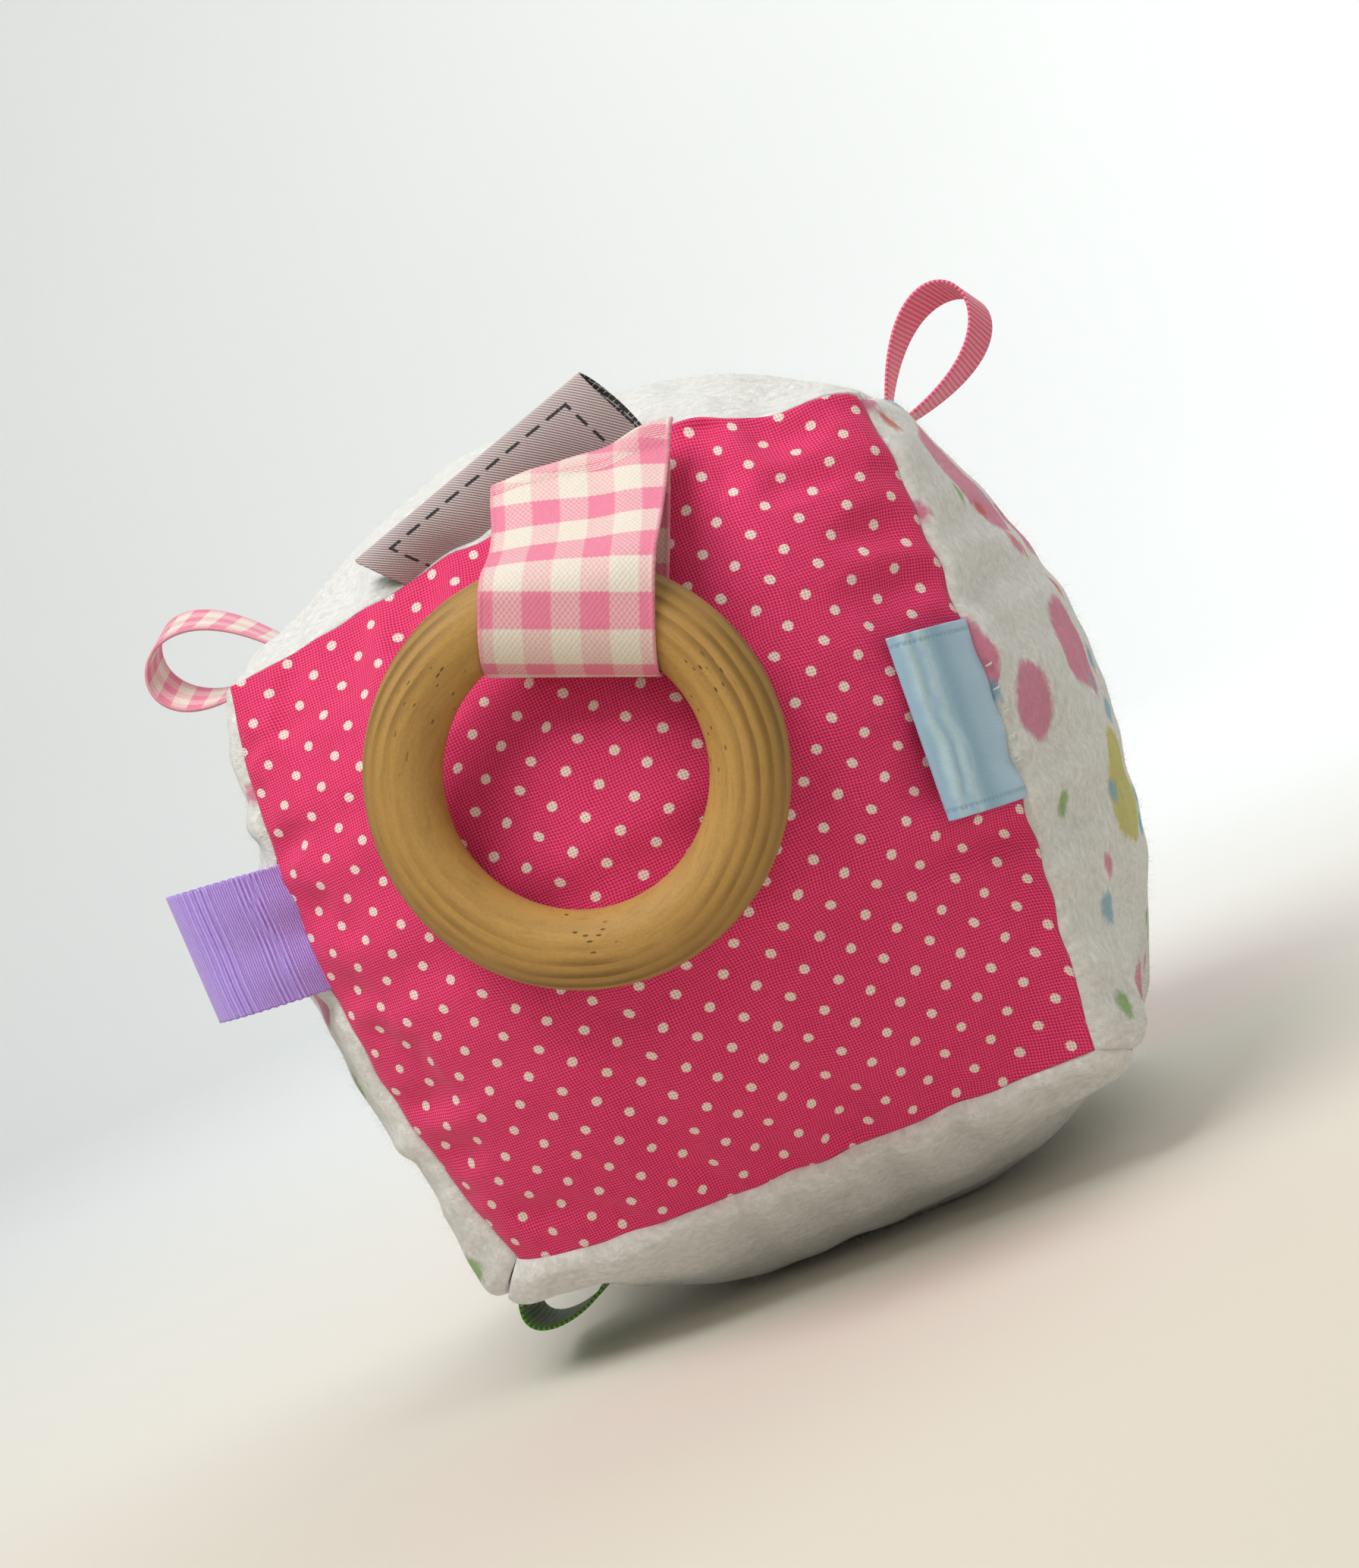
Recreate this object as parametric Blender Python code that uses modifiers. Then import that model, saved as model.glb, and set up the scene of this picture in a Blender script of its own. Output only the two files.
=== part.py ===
"""Soft fabric block: a stuffed cube of six sewn panels, with a wooden ring, ribbon loops and a label.

Metres, +Z up. The dotted panel faces -Y, and the origin is the middle of the flat patch that the block rests on.
Run it with: blender --background --python part.py
"""
import math

import bmesh
import bpy
import numpy as np
from mathutils import Matrix, Vector, geometry

# The sewn block, between its seams
BLOCK_WIDTH = 0.096
BLOCK_DEPTH = 0.0954
BLOCK_HEIGHT = 0.096
PANEL_THICKNESS = 0.0012
TOUCHING_GAP = 0.0003
FILL_GAP = 0.0008

# How far each panel swells past the plane of its seams
FRONT_CROWN = 0.0153
BACK_CROWN = 0.0150
LEFT_CROWN = 0.0124
RIGHT_CROWN = 0.0130
TOP_CROWN = 0.0152
BOTTOM_CROWN = 0.0135
REST_FLAT_DEPTH = 0.0005

# The turned wooden ring
RING_OUTER_DIAMETER = 0.056
RING_SECTION_WIDTH = 0.0105
RING_THICKNESS = 0.0095
RING_RIGHT_OF_MIDDLE = -0.003
RING_ABOVE_MIDDLE = 0.016
RING_STAND_OFF = 0.0004

# The ribbons, all folded double and sewn into a seam
RIBBON_THICKNESS = 0.0005
ROOT_GAP = 0.0010
ROOT_SPREAD = 0.0008
RING_RIBBON_WIDTH = 0.0228
RING_RIBBON_ROOT_GAP = 0.0008
RING_RIBBON_CLEARANCE = 0.0007
LABEL_LENGTH = 0.0385
LABEL_HEIGHT = 0.0076
LABEL_SKEW = 0.0030
LABEL_SLIDE = 0.0053
LABEL_OPENING = 0.0026
LABEL_LEFT_SETBACK = 0.0004
LABEL_RIGHT_SETBACK = 0.0028
PURPLE_TAB_WIDTH = 0.0190
PURPLE_TAB_LENGTH = 0.0158
PURPLE_TAB_OPENING = 0.0066
BLUE_TAB_WIDTH = 0.0255
BLUE_TAB_LENGTH = 0.0122
BLUE_TAB_OPENING = 0.0012
BLUE_TAB_CAMBER = 0.0011
PINK_LOOP_WIDTH = 0.0070
PINK_LOOP_LENGTH = 0.0241
PINK_LOOP_OPENING = 0.0110
GINGHAM_LOOP_WIDTH = 0.0080
GINGHAM_LOOP_LENGTH = 0.0218
GINGHAM_LOOP_OPENING = 0.0120
GREEN_LOOP_WIDTH = 0.0190
GREEN_LOOP_LENGTH = 0.0140
GREEN_LOOP_OPENING = 0.0145

# The hand stitches that close the opening for the stuffing
STITCH_LENGTH = 0.0018
STITCH_SPACING = 0.0034
STITCH_COUNT = 5
THREAD_RADIUS = 0.00022

# Fineness of the meshes
PANEL_CELLS = 14
FILL_CUTS = 9
LOOP_CELLS = 28
RIBBON_CELLS = 4
RING_STEPS = 44
RING_SECTION_STEPS = 14
SMOOTH_ANGLE = math.radians(40)

HALF_SIZE = np.array((BLOCK_WIDTH, BLOCK_DEPTH, BLOCK_HEIGHT)) / 2

# The way each panel faces
PANEL_SHARES = {
    "front": (0, -1, 0), "back": (0, 1, 0), "left": (-1, 0, 0), "right": (1, 0, 0), "bottom": (0, 0, -1),
    "top": (0, 0, 1)}
CROWNS = {
    "front": FRONT_CROWN, "back": BACK_CROWN, "left": LEFT_CROWN, "right": RIGHT_CROWN, "bottom": BOTTOM_CROWN,
    "top": TOP_CROWN}
# How square each crown is: 2 is a parabola, and more is flatter in the middle
CROWN_POWER_SHARES = {"front": 2.2, "back": 2.2, "left": 2.2, "right": 2.2, "bottom": 3.0, "top": 2.2}

# Where each corner lies, as shares of the half sizes; the front one of the lower corners is drawn in most
CORNER_SHARES = {
    (-1, -1, -1): (0.90, 0.95, 0.93),
    (-1, -1, 1): (1.02, 1.05, 0.955),
    (1, -1, -1): (0.92, 0.97, 0.96),
    (1, -1, 1): (1.00, 1.02, 1.01),
    (-1, 1, -1): (1.01, 1.00, 0.98),
    (-1, 1, 1): (1.01, 1.00, 1.03),
    (1, 1, -1): (1.03, 0.99, 1.01),
    (1, 1, 1): (1.00, 1.00, 1.015),
}

# Where the middle of each root lies along its seam, from its left, front or lower end
RING_RIBBON_SHARE = 0.625
LABEL_SHARE = 0.505
PURPLE_TAB_SHARE = 0.615
BLUE_TAB_SHARE = 0.511
PINK_LOOP_SHARE = 0.82
GINGHAM_LOOP_SHARE = 0.41
GREEN_LOOP_SHARE = 0.22

# How far a seam bows out along X, Y and Z, as shares of the half sizes, and where along its length it peaks
SEAM_SHARES = {
    ("front", "top"): ((0, 0.12, 0.115), 0.73),
    ("front", "bottom"): ((0, 0.10, 0.03), 0.26),
    ("left", "front"): ((0.112, 0.09, 0), 0.50),
    ("right", "front"): ((0.058, 0.075, 0), 0.58),
    ("left", "top"): ((0.02, 0, 0.067), 0.50),
    ("right", "top"): ((0.01, 0, 0.031), 0.50),
    ("left", "bottom"): ((0.027, 0, 0.085), 0.50),
    ("right", "bottom"): ((0.037, 0, 0.090), 0.50),
    ("back", "top"): ((0, 0.02, 0.02), 0.50),
    ("back", "bottom"): ((0, 0.02, 0.02), 0.50),
    ("left", "back"): ((0.02, 0.02, 0), 0.50),
    ("right", "back"): ((0.02, 0.02, 0), 0.50),
}


def panel_on(axis, side):
    """Name of the panel that faces along an axis, on one side."""
    return next(name for name, facing in PANEL_SHARES.items() if facing[axis] == side)


def seam_points(run_axis, sides, shares):
    """Points along the seam that runs along run_axis, at shares of its length.

    sides holds -1 or 1 for the other two axes, and anything for run_axis. The seam is the straight line between
    its corners plus a bow of (t/p)^(2p) * ((1-t)/(1-p))^(2-2p), which is 1 where t is the peak share p.
    """
    shares = np.clip(np.asarray(shares, dtype=float), 0, 1)[..., None]
    ends = []
    for end in (-1, 1):
        corner = tuple(end if axis == run_axis else sides[axis] for axis in range(3))
        ends.append(HALF_SIZE * corner * CORNER_SHARES[corner])
    across = [axis for axis in range(3) if axis != run_axis]
    names = {panel_on(axis, sides[axis]) for axis in across}
    bow_shares, peak = next(seam for pair, seam in SEAM_SHARES.items() if set(pair) == names)
    outward = np.array([0 if axis == run_axis else sides[axis] for axis in range(3)])
    swell = (shares / peak) ** (2 * peak) * ((1 - shares) / (1 - peak)) ** (2 - 2 * peak)
    return ends[0] * (1 - shares) + ends[1] * shares + swell * HALF_SIZE * bow_shares * outward


def cover_points(name, u, v):
    """Points of a panel's outer surface, from the block's middle, for u and v from 0 to 1.

    The four seams are blended (a Coons patch), and the crown (1-|2u-1|^k)(1-|2v-1|^k) is added along the
    panel's own axis.
    """
    axis = int(np.argmax(np.abs(PANEL_SHARES[name])))
    side = PANEL_SHARES[name][axis]
    power = CROWN_POWER_SHARES[name]
    first, second = (other for other in range(3) if other != axis)

    def seam(run_axis, fixed_axis, end, shares):
        sides = [0, 0, 0]
        sides[axis] = side
        sides[fixed_axis] = end
        return seam_points(run_axis, sides, shares)

    u, v = np.asarray(u, dtype=float), np.asarray(v, dtype=float)
    s, t = u[..., None], v[..., None]
    points = (1 - t) * seam(first, second, -1, u) + t * seam(first, second, 1, u)
    points = points + (1 - s) * seam(second, first, -1, v) + s * seam(second, first, 1, v)
    for end, weight in ((-1, 1 - s), (1, s)):
        ends = seam(second, first, end, np.array((0.0, 1.0)))
        points = points - weight * ((1 - t) * ends[0] + t * ends[1])
    swell = CROWNS[name] * (1 - abs(2 * s - 1) ** power) * (1 - abs(2 * t - 1) ** power)
    points[..., axis] += side * swell[..., 0]
    return points


def rest_point():
    """Middle of the patch that the block rests on, from the block's middle: its lowest part, cut flat."""
    shares = np.linspace(0, 1, 61)
    under = cover_points("bottom", *np.meshgrid(shares, shares)).reshape(-1, 3)
    level = under[:, 2].min() + REST_FLAT_DEPTH
    patch = under[under[:, 2] < level]
    return np.array((*patch[:, :2].mean(axis=0), level))


REST_POINT = rest_point()
BLOCK_MIDDLE = Vector(-REST_POINT)


def cover_shell(name, u, v, shell):
    """Panel points drawn in towards the block's middle by a share, and no lower than the flat patch."""
    points = cover_points(name, u, v)
    points[..., 2] = np.maximum(points[..., 2], REST_POINT[2])
    return points * shell


def drawn_in(depth):
    """Share that draws the cover in by a depth, measured at its seams."""
    return 1 - depth / HALF_SIZE.min()


def material(name, colour, roughness, sheen=0.0):
    finish = bpy.data.materials.new(name)
    finish.use_nodes = True
    shader = finish.node_tree.nodes["Principled BSDF"]
    shader.inputs["Base Color"].default_value = (*colour, 1)
    shader.inputs["Roughness"].default_value = roughness
    shader.inputs["Metallic"].default_value = 0
    shader.inputs["Sheen Weight"].default_value = sheen
    finish.diffuse_color = (*colour, 1)
    return finish


def add_object(name, mesh, finish, location=BLOCK_MIDDLE):
    mesh.materials.clear()
    mesh.materials.append(finish)
    mesh.shade_smooth()
    mesh.set_sharp_from_angle(angle=SMOOTH_ANGLE)
    item = bpy.data.objects.new(name, mesh)
    item.location = location
    parts.objects.link(item)
    return item


def move_vertices(verts, points):
    for vert, point in zip(verts, points):
        vert.co = point


def make_panel(name, finish):
    """A sewn panel: a grid laid on the cover, extruded inwards, so that the seams meet in a mitre."""
    sheet = bmesh.new()
    bmesh.ops.create_grid(sheet, x_segments=PANEL_CELLS, y_segments=PANEL_CELLS, size=1)
    outer = sheet.verts[:]
    doubled = bmesh.ops.extrude_face_region(
        sheet, geom=sheet.verts[:] + sheet.edges[:] + sheet.faces[:], use_keep_orig=True)
    inner = [element for element in doubled["geom"] if isinstance(element, bmesh.types.BMVert)]
    seam_inset = TOUCHING_GAP / math.sqrt(2) / HALF_SIZE.min()
    for verts, shell in ((outer, 1), (inner, drawn_in(PANEL_THICKNESS))):
        shares = np.array([vert.co[:2] for vert in verts]) * (1 - seam_inset) / 2 + 0.5
        move_vertices(verts, cover_shell(name, shares[:, 0], shares[:, 1], shell))
    bmesh.ops.recalc_face_normals(sheet, faces=sheet.faces[:])
    if sheet.calc_volume(signed=True) < 0:
        bmesh.ops.reverse_faces(sheet, faces=sheet.faces[:])
    mesh = bpy.data.meshes.new(f"{name}_panel")
    sheet.to_mesh(mesh)
    sheet.free()
    return add_object(f"{name}_panel", mesh, finish)


def make_fill(finish):
    """The stuffing: a cube's faces, cut into a grid and laid just inside the panels."""
    cube = bmesh.new()
    bmesh.ops.create_cube(cube, size=2)
    bmesh.ops.subdivide_edges(cube, edges=cube.edges[:], cuts=FILL_CUTS, use_grid_fill=True)
    shell = drawn_in(PANEL_THICKNESS + FILL_GAP)
    for vert in cube.verts:
        axis = max(range(3), key=lambda other: abs(vert.co[other]))
        shares = [(vert.co[other] + 1) / 2 for other in range(3) if other != axis]
        vert.co = cover_shell(panel_on(axis, 1 if vert.co[axis] > 0 else -1), *shares, shell)
    mesh = bpy.data.meshes.new("polyester_fill")
    cube.to_mesh(mesh)
    cube.free()
    return add_object("polyester_fill", mesh, finish)


RING_CORE_RADIUS = (RING_OUTER_DIAMETER - RING_SECTION_WIDTH) / 2


def ring_middle():
    """Middle of the ring, from the block's middle: its stand-off clear of the swollen front panel."""
    shares = np.linspace(0, 1, 49)
    front = cover_points("front", *np.meshgrid(shares, shares)).reshape(-1, 3)
    sideways = front[:, [0, 2]] - (RING_RIGHT_OF_MIDDLE, RING_ABOVE_MIDDLE)
    from_core = np.linalg.norm(sideways, axis=1) - RING_CORE_RADIUS
    under_wood = abs(from_core) < RING_SECTION_WIDTH / 2
    stand_off = np.sqrt(1 - (2 * from_core[under_wood] / RING_SECTION_WIDTH) ** 2) * RING_THICKNESS / 2
    furthest_back = (front[under_wood, 1] - stand_off).min()
    return np.array((RING_RIGHT_OF_MIDDLE, furthest_back - RING_STAND_OFF, RING_ABOVE_MIDDLE))


RING_MIDDLE = ring_middle()


def make_ring(finish):
    """The ring, with its axis along Y and its origin at its middle."""
    bpy.ops.mesh.primitive_torus_add(
        major_radius=RING_CORE_RADIUS, minor_radius=RING_SECTION_WIDTH / 2,
        major_segments=RING_STEPS, minor_segments=RING_SECTION_STEPS)
    donor = bpy.context.object
    mesh = donor.data
    mesh.transform(Matrix.Diagonal((1, 1, RING_THICKNESS / RING_SECTION_WIDTH, 1)))
    mesh.transform(Matrix.Rotation(math.pi / 2, 4, "X"))
    bpy.data.objects.remove(donor)
    mesh.name = "wooden_ring"
    return add_object("wooden_ring", mesh, finish, BLOCK_MIDDLE + Vector(RING_MIDDLE))


def unit(vector):
    return np.array(vector) / np.linalg.norm(vector)


def seam_root(run_axis, sides, middle_share, width, shift):
    """A ribbon's sewn root: a function of the share of the ribbon's width, which follows the seam, shifted."""
    ends = seam_points(run_axis, sides, (0.0, 1.0))
    width_share = width / np.linalg.norm(ends[1] - ends[0])

    def root(v):
        return seam_points(run_axis, sides, middle_share + (np.asarray(v) - 0.5) * width_share) + shift

    return root


def straight(start, end):
    """A function of a share, along the straight line between two points."""
    return lambda v: start + np.asarray(v)[..., None] * (end - start)


def drop_section(opening, camber=0.0):
    """Section of a loose ribbon as a function of u, which runs out to its fold and back: reach and off_middle.

    With a = 2 pi u, reach = (1 - cos a) / 2 of the way from its root to its fold, and its two layers stand half
    its opening times sin a sin(a/2) / (4/sqrt(27)) off its middle. At the root they stand a small spread apart,
    and the whole section bows by its camber.
    """
    def section(u):
        angle = 2 * math.pi * u
        reach = (1 - np.cos(angle)) / 2
        drop = np.sin(angle) * np.sin(angle / 2) * math.sqrt(27) / 4
        off_middle = opening / 2 * drop + ROOT_SPREAD / 2 * np.cos(angle / 2)
        return reach, off_middle + camber * np.sin(math.pi * reach)

    return section


def taut_section(root_spot, fold_spot, held, behind):
    """Section of a ribbon drawn tight from its root round the spots it holds, and in front of what is behind.

    All are in one plane, as heights and depths; behind holds the heights and depths of the surface behind.
    """
    chord = fold_spot - root_spot
    across = np.array((-chord[1], chord[0])) / np.linalg.norm(chord)
    roots = [root_spot + ROOT_SPREAD / 2 * across, root_spot - ROOT_SPREAD / 2 * across]
    spots = np.array([*roots, *held])
    order = geometry.convex_hull_2d([Vector(spot) for spot in spots])
    order = order[order.index(0):] + order[:order.index(0)]
    if order[1] == 1:
        order = order[:1] + order[:0:-1]
    run = np.append(0, np.cumsum(np.linalg.norm(np.diff(spots[order], axis=0), axis=1)))
    heights, depths = (np.interp(np.linspace(0, run[-1], 8 * LOOP_CELLS), run, row) for row in spots[order].T)
    path = np.stack((heights, np.minimum(depths, np.interp(heights, *behind))), axis=1)
    run = np.append(0, np.cumsum(np.linalg.norm(np.diff(path, axis=0), axis=1)))
    reaches = (path - root_spot) @ chord / (chord @ chord)
    offs = (path - root_spot) @ across

    def section(u):
        return np.interp(u * run[-1], run, reaches), np.interp(u * run[-1], run, offs)

    return section


def make_ribbon(name, finish, root, fold, across, section):
    """A ribbon folded double: a grid laid along its section, given its thickness, with its origin on its seam.

    Its middle layer is root(v) (1 - reach) + fold(v) reach + off_middle across, with v across its width.
    """
    strip = bmesh.new()
    bmesh.ops.create_grid(strip, x_segments=LOOP_CELLS, y_segments=RIBBON_CELLS, size=1)
    u, v = (np.array([vert.co[:2] for vert in strip.verts]) / 2 + 0.5).T
    reach, off_middle = section(u)
    middle = root(np.array((0.0, 1.0))).mean(axis=0)
    points = root(v) * (1 - reach[:, None]) + fold(v) * reach[:, None] + off_middle[:, None] * across
    move_vertices(strip.verts, points - middle)
    mesh = bpy.data.meshes.new(name)
    strip.to_mesh(mesh)
    strip.free()
    item = add_object(name, mesh, finish, BLOCK_MIDDLE + Vector(middle))
    thicken = item.modifiers.new("ribbon thickness", "SOLIDIFY")
    thicken.thickness = RIBBON_THICKNESS
    thicken.offset = 0
    return item


def make_loop(name, finish, seam, middle_share, sizes, out_shares, twist_degrees=0, camber=0.0):
    """A ribbon loop on a seam: it points along out_shares, and its fold is twisted about that direction.

    seam is the axis that the seam runs along and its sides; sizes are the loop's width, length and opening.
    """
    run_axis, sides = seam
    width, length, opening = sizes
    out = unit(out_shares)
    side_normal = unit([0 if axis == run_axis else sides[axis] for axis in range(3)])
    root = seam_root(run_axis, sides, middle_share, width, ROOT_GAP * side_normal)
    ends = root(np.array((0.0, 1.0)))
    along = unit(ends[1] - ends[0])
    across = unit(np.cross(along, out))
    twist = math.radians(twist_degrees)
    half_fold = width / 2 * (math.cos(twist) * along + math.sin(twist) * across)
    fold_middle = ends.mean(axis=0) + length * out
    fold = straight(fold_middle - half_fold, fold_middle + half_fold)
    return make_ribbon(name, finish, root, fold, across, drop_section(opening, camber))


RING_SEAM = (0, (0, -1, 1))


def make_ring_ribbon(finish):
    """The ribbon that holds the ring: from the front top seam over the ring, through its hole and back.

    Its root is cut askew, so that it hangs straight at the ring. Its section lies in the plane of the ring's
    axis and the way up to the seam, and is drawn tight round the wood as it is at the ribbon's middle and edges,
    and in front of the swollen panel.
    """
    shift = RING_RIBBON_ROOT_GAP * unit((0, -1, 1))
    towards_seam = seam_points(*RING_SEAM, RING_RIBBON_SHARE) + shift - RING_MIDDLE
    up = unit((towards_seam[0], 0, towards_seam[2]))
    sideways = np.array((up[2], 0, -up[0]))
    seam_ends = seam_points(*RING_SEAM, (0.0, 1.0))
    askew = np.dot(unit(seam_ends[1] - seam_ends[0]), sideways)
    root = seam_root(*RING_SEAM, RING_RIBBON_SHARE, RING_RIBBON_WIDTH / askew, shift)
    half_width = RING_RIBBON_WIDTH / 2
    clearance = RIBBON_THICKNESS / 2 + RING_RIBBON_CLEARANCE
    turn = np.linspace(0, 2 * math.pi, LOOP_CELLS)
    radii = RING_CORE_RADIUS + (RING_SECTION_WIDTH / 2 + clearance) * np.cos(turn)
    depths = (RING_THICKNESS / 2 + clearance) * np.sin(turn)
    held = [(math.sqrt(radius ** 2 - aside ** 2), depth)
            for aside in (0, half_width) for radius, depth in zip(radii, depths)]
    shares = np.linspace(0, 1, 61)
    face = cover_points("front", *np.meshgrid(shares, shares)).reshape(-1, 3) - RING_MIDDLE
    face = face[abs(face @ sideways) < half_width]
    levels, step = np.linspace(0, (face @ up).max(), 25, retstep=True)
    near = abs((face @ up)[:, None] - levels) < step
    behind = (levels, np.where(near, face[:, 1:2], np.inf).min(axis=0) - RIBBON_THICKNESS / 2 - TOUCHING_GAP)
    root_spot = np.array((np.dot(towards_seam, up), towards_seam[1]))
    fold_spot = np.array(min(held))
    chord = fold_spot - root_spot
    across = unit((-chord[1] * up) + np.array((0, chord[0], 0)))
    fold_middle = RING_MIDDLE + fold_spot[0] * up + np.array((0, fold_spot[1], 0))
    fold = straight(fold_middle - half_width * sideways, fold_middle + half_width * sideways)
    section = taut_section(root_spot, fold_spot, held, behind)
    return make_ribbon("ring_ribbon", finish, root, fold, across, section)


def make_label(finish):
    """The woven label: folded double, sewn askew just behind the ring's ribbon, standing up from the seam."""
    width_share = LABEL_LENGTH / BLOCK_WIDTH
    back_shares = np.array((LABEL_LEFT_SETBACK, LABEL_RIGHT_SETBACK)) / BLOCK_DEPTH
    shift = ROOT_GAP * unit((0, -1, 1))

    def root(v):
        across_share = LABEL_SHARE + (np.asarray(v) - 0.5) * width_share
        return cover_points("top", across_share, np.interp(v, (0, 1), back_shares)) + shift

    ends = root(np.array((0.0, 1.0)))
    rises = np.array(((LABEL_HEIGHT - LABEL_SKEW,), (LABEL_HEIGHT + LABEL_SKEW,)))
    fold = straight(*(ends + rises * (0, 0, 1) - np.array((LABEL_SLIDE, 0, 0))))
    across = unit(np.cross(ends[1] - ends[0], (0, 0, 1)))
    return make_ribbon("woven_label", finish, root, fold, across, drop_section(LABEL_OPENING))


def make_stitch(index, finish):
    """A stitch over the right front seam, beside the blue tab: a short bar of thread on the right panel."""
    name = f"closing_stitch_{index + 1}"
    up_share = BLUE_TAB_SHARE + (index - (STITCH_COUNT - 1) / 2) * STITCH_SPACING / BLOCK_HEIGHT
    back_shares = np.linspace(STITCH_LENGTH, 2 * STITCH_LENGTH, 3) / BLOCK_DEPTH
    points = cover_points("right", back_shares, np.full(3, up_share))
    points = points + (TOUCHING_GAP + THREAD_RADIUS) * unit((1, -1, 0))
    curve = bpy.data.curves.new(name, "CURVE")
    curve.dimensions = "3D"
    curve.bevel_depth = THREAD_RADIUS
    curve.bevel_resolution = 1
    curve.use_fill_caps = True
    curve.materials.append(finish)
    bar = curve.splines.new("POLY")
    bar.points.add(len(points) - 1)
    for spot, point in zip(bar.points, points):
        spot.co = Vector(point).to_4d()
    item = bpy.data.objects.new(name, curve)
    item.location = BLOCK_MIDDLE
    parts.objects.link(item)
    return item


for old in list(bpy.data.objects):
    bpy.data.objects.remove(old)
parts = bpy.data.collections.new("soft_fabric_block")
bpy.context.scene.collection.children.link(parts)

dotted_cotton = material("dotted cotton", (0.68, 0.035, 0.15), 0.8)
plain_flannel = material("plain flannel", (0.80, 0.77, 0.69), 0.95, sheen=0.3)
printed_flannel = material("printed flannel", (0.80, 0.70, 0.66), 0.95, sheen=0.3)
stuffing = material("polyester stuffing", (0.85, 0.85, 0.85), 0.95)
wood = material("turned wood", (0.56, 0.34, 0.12), 0.5)
gingham = material("gingham ribbon", (0.85, 0.42, 0.52), 0.6)
twill = material("label twill", (0.36, 0.31, 0.31), 0.7)
purple_grosgrain = material("purple grosgrain", (0.36, 0.20, 0.66), 0.6)
blue_satin = material("blue satin", (0.32, 0.50, 0.66), 0.3)
pink_grosgrain = material("pink grosgrain", (0.78, 0.16, 0.26), 0.6)
green_grosgrain = material("green grosgrain", (0.05, 0.22, 0.01), 0.6)
thread = material("white thread", (0.85, 0.85, 0.83), 0.6)

panel_finishes = {
    "front": dotted_cotton, "back": dotted_cotton, "left": printed_flannel, "right": printed_flannel,
    "bottom": plain_flannel, "top": plain_flannel}
for panel_name, panel_finish in panel_finishes.items():
    make_panel(panel_name, panel_finish)
make_fill(stuffing)
make_ring(wood)
make_ring_ribbon(gingham)
make_label(twill)
make_loop("purple_tab", purple_grosgrain, (2, (-1, -1, 0)), PURPLE_TAB_SHARE,
          (PURPLE_TAB_WIDTH, PURPLE_TAB_LENGTH, PURPLE_TAB_OPENING), (-1, -0.15, 0.15))
make_loop("blue_satin_tab", blue_satin, (2, (1, -1, 0)), BLUE_TAB_SHARE,
          (BLUE_TAB_WIDTH, BLUE_TAB_LENGTH, BLUE_TAB_OPENING), (-0.64, -0.76, 0.09), camber=BLUE_TAB_CAMBER)
make_loop("pink_loop", pink_grosgrain, (1, (1, 0, 1)), PINK_LOOP_SHARE,
          (PINK_LOOP_WIDTH, PINK_LOOP_LENGTH, PINK_LOOP_OPENING), (0.775, 0, 0.635), twist_degrees=40)
make_loop("gingham_loop", gingham, (1, (-1, 0, 1)), GINGHAM_LOOP_SHARE,
          (GINGHAM_LOOP_WIDTH, GINGHAM_LOOP_LENGTH, GINGHAM_LOOP_OPENING), (-0.95, 0, 0.31), twist_degrees=30)
make_loop("green_loop", green_grosgrain, (1, (-1, 0, -1)), GREEN_LOOP_SHARE,
          (GREEN_LOOP_WIDTH, GREEN_LOOP_LENGTH, GREEN_LOOP_OPENING), (-0.07, 0, -1))
for stitch in range(STITCH_COUNT):
    make_stitch(stitch, thread)
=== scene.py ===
"""Soft fabric block, dressed: swollen sewn covers, a turned wooden ring, ribbon loops and a woven label.

Metres, +Z up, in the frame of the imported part. Every new piece is a surface worked out with numpy from the
block's own seams. The attribute "cloth" holds millimetres along the cloth, across it and in from its edge.
"""

import math

import bpy
import numpy as np
from mathutils import Matrix, Vector, geometry


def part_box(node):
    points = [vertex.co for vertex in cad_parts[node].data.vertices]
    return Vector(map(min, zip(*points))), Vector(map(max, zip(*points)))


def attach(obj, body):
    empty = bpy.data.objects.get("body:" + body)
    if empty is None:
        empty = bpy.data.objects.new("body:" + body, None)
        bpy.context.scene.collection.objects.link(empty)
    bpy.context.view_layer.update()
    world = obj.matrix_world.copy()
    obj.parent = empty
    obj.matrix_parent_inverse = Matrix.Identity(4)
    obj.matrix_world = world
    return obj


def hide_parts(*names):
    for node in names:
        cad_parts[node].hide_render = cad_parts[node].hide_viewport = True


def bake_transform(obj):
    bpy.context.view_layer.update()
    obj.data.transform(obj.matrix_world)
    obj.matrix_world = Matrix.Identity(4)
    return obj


bl_info = {
    "name": "Soft fabric block",
    "version": (1, 0, 0),
    "blender": (4, 5, 0),
    "location": "3D View > Sidebar > Fabric block",
    "description": "Dresses the packed fabric block with its covers, ring, ribbons and label",
    "category": "Add Mesh",
}

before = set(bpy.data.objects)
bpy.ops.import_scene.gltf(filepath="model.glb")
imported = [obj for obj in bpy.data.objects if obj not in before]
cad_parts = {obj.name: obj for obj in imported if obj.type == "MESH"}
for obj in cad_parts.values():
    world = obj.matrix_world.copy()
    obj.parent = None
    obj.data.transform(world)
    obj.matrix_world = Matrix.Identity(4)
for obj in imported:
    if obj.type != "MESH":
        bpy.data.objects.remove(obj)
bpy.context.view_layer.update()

MM = 0.001

# The sewn block, between its seams, and its middle in the row's frame, as the part has them
BLOCK_SIZE = np.array((0.096, 0.0954, 0.096))
HALF_SIZE = BLOCK_SIZE / 2
SEAM_MILLIMETRES = 96
BLOCK_MIDDLE = np.array((-0.00212, -0.00272, 0.06488))
COVER_THICKNESS = 0.0010
STUFFING_DEPTH = 0.0020
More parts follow.
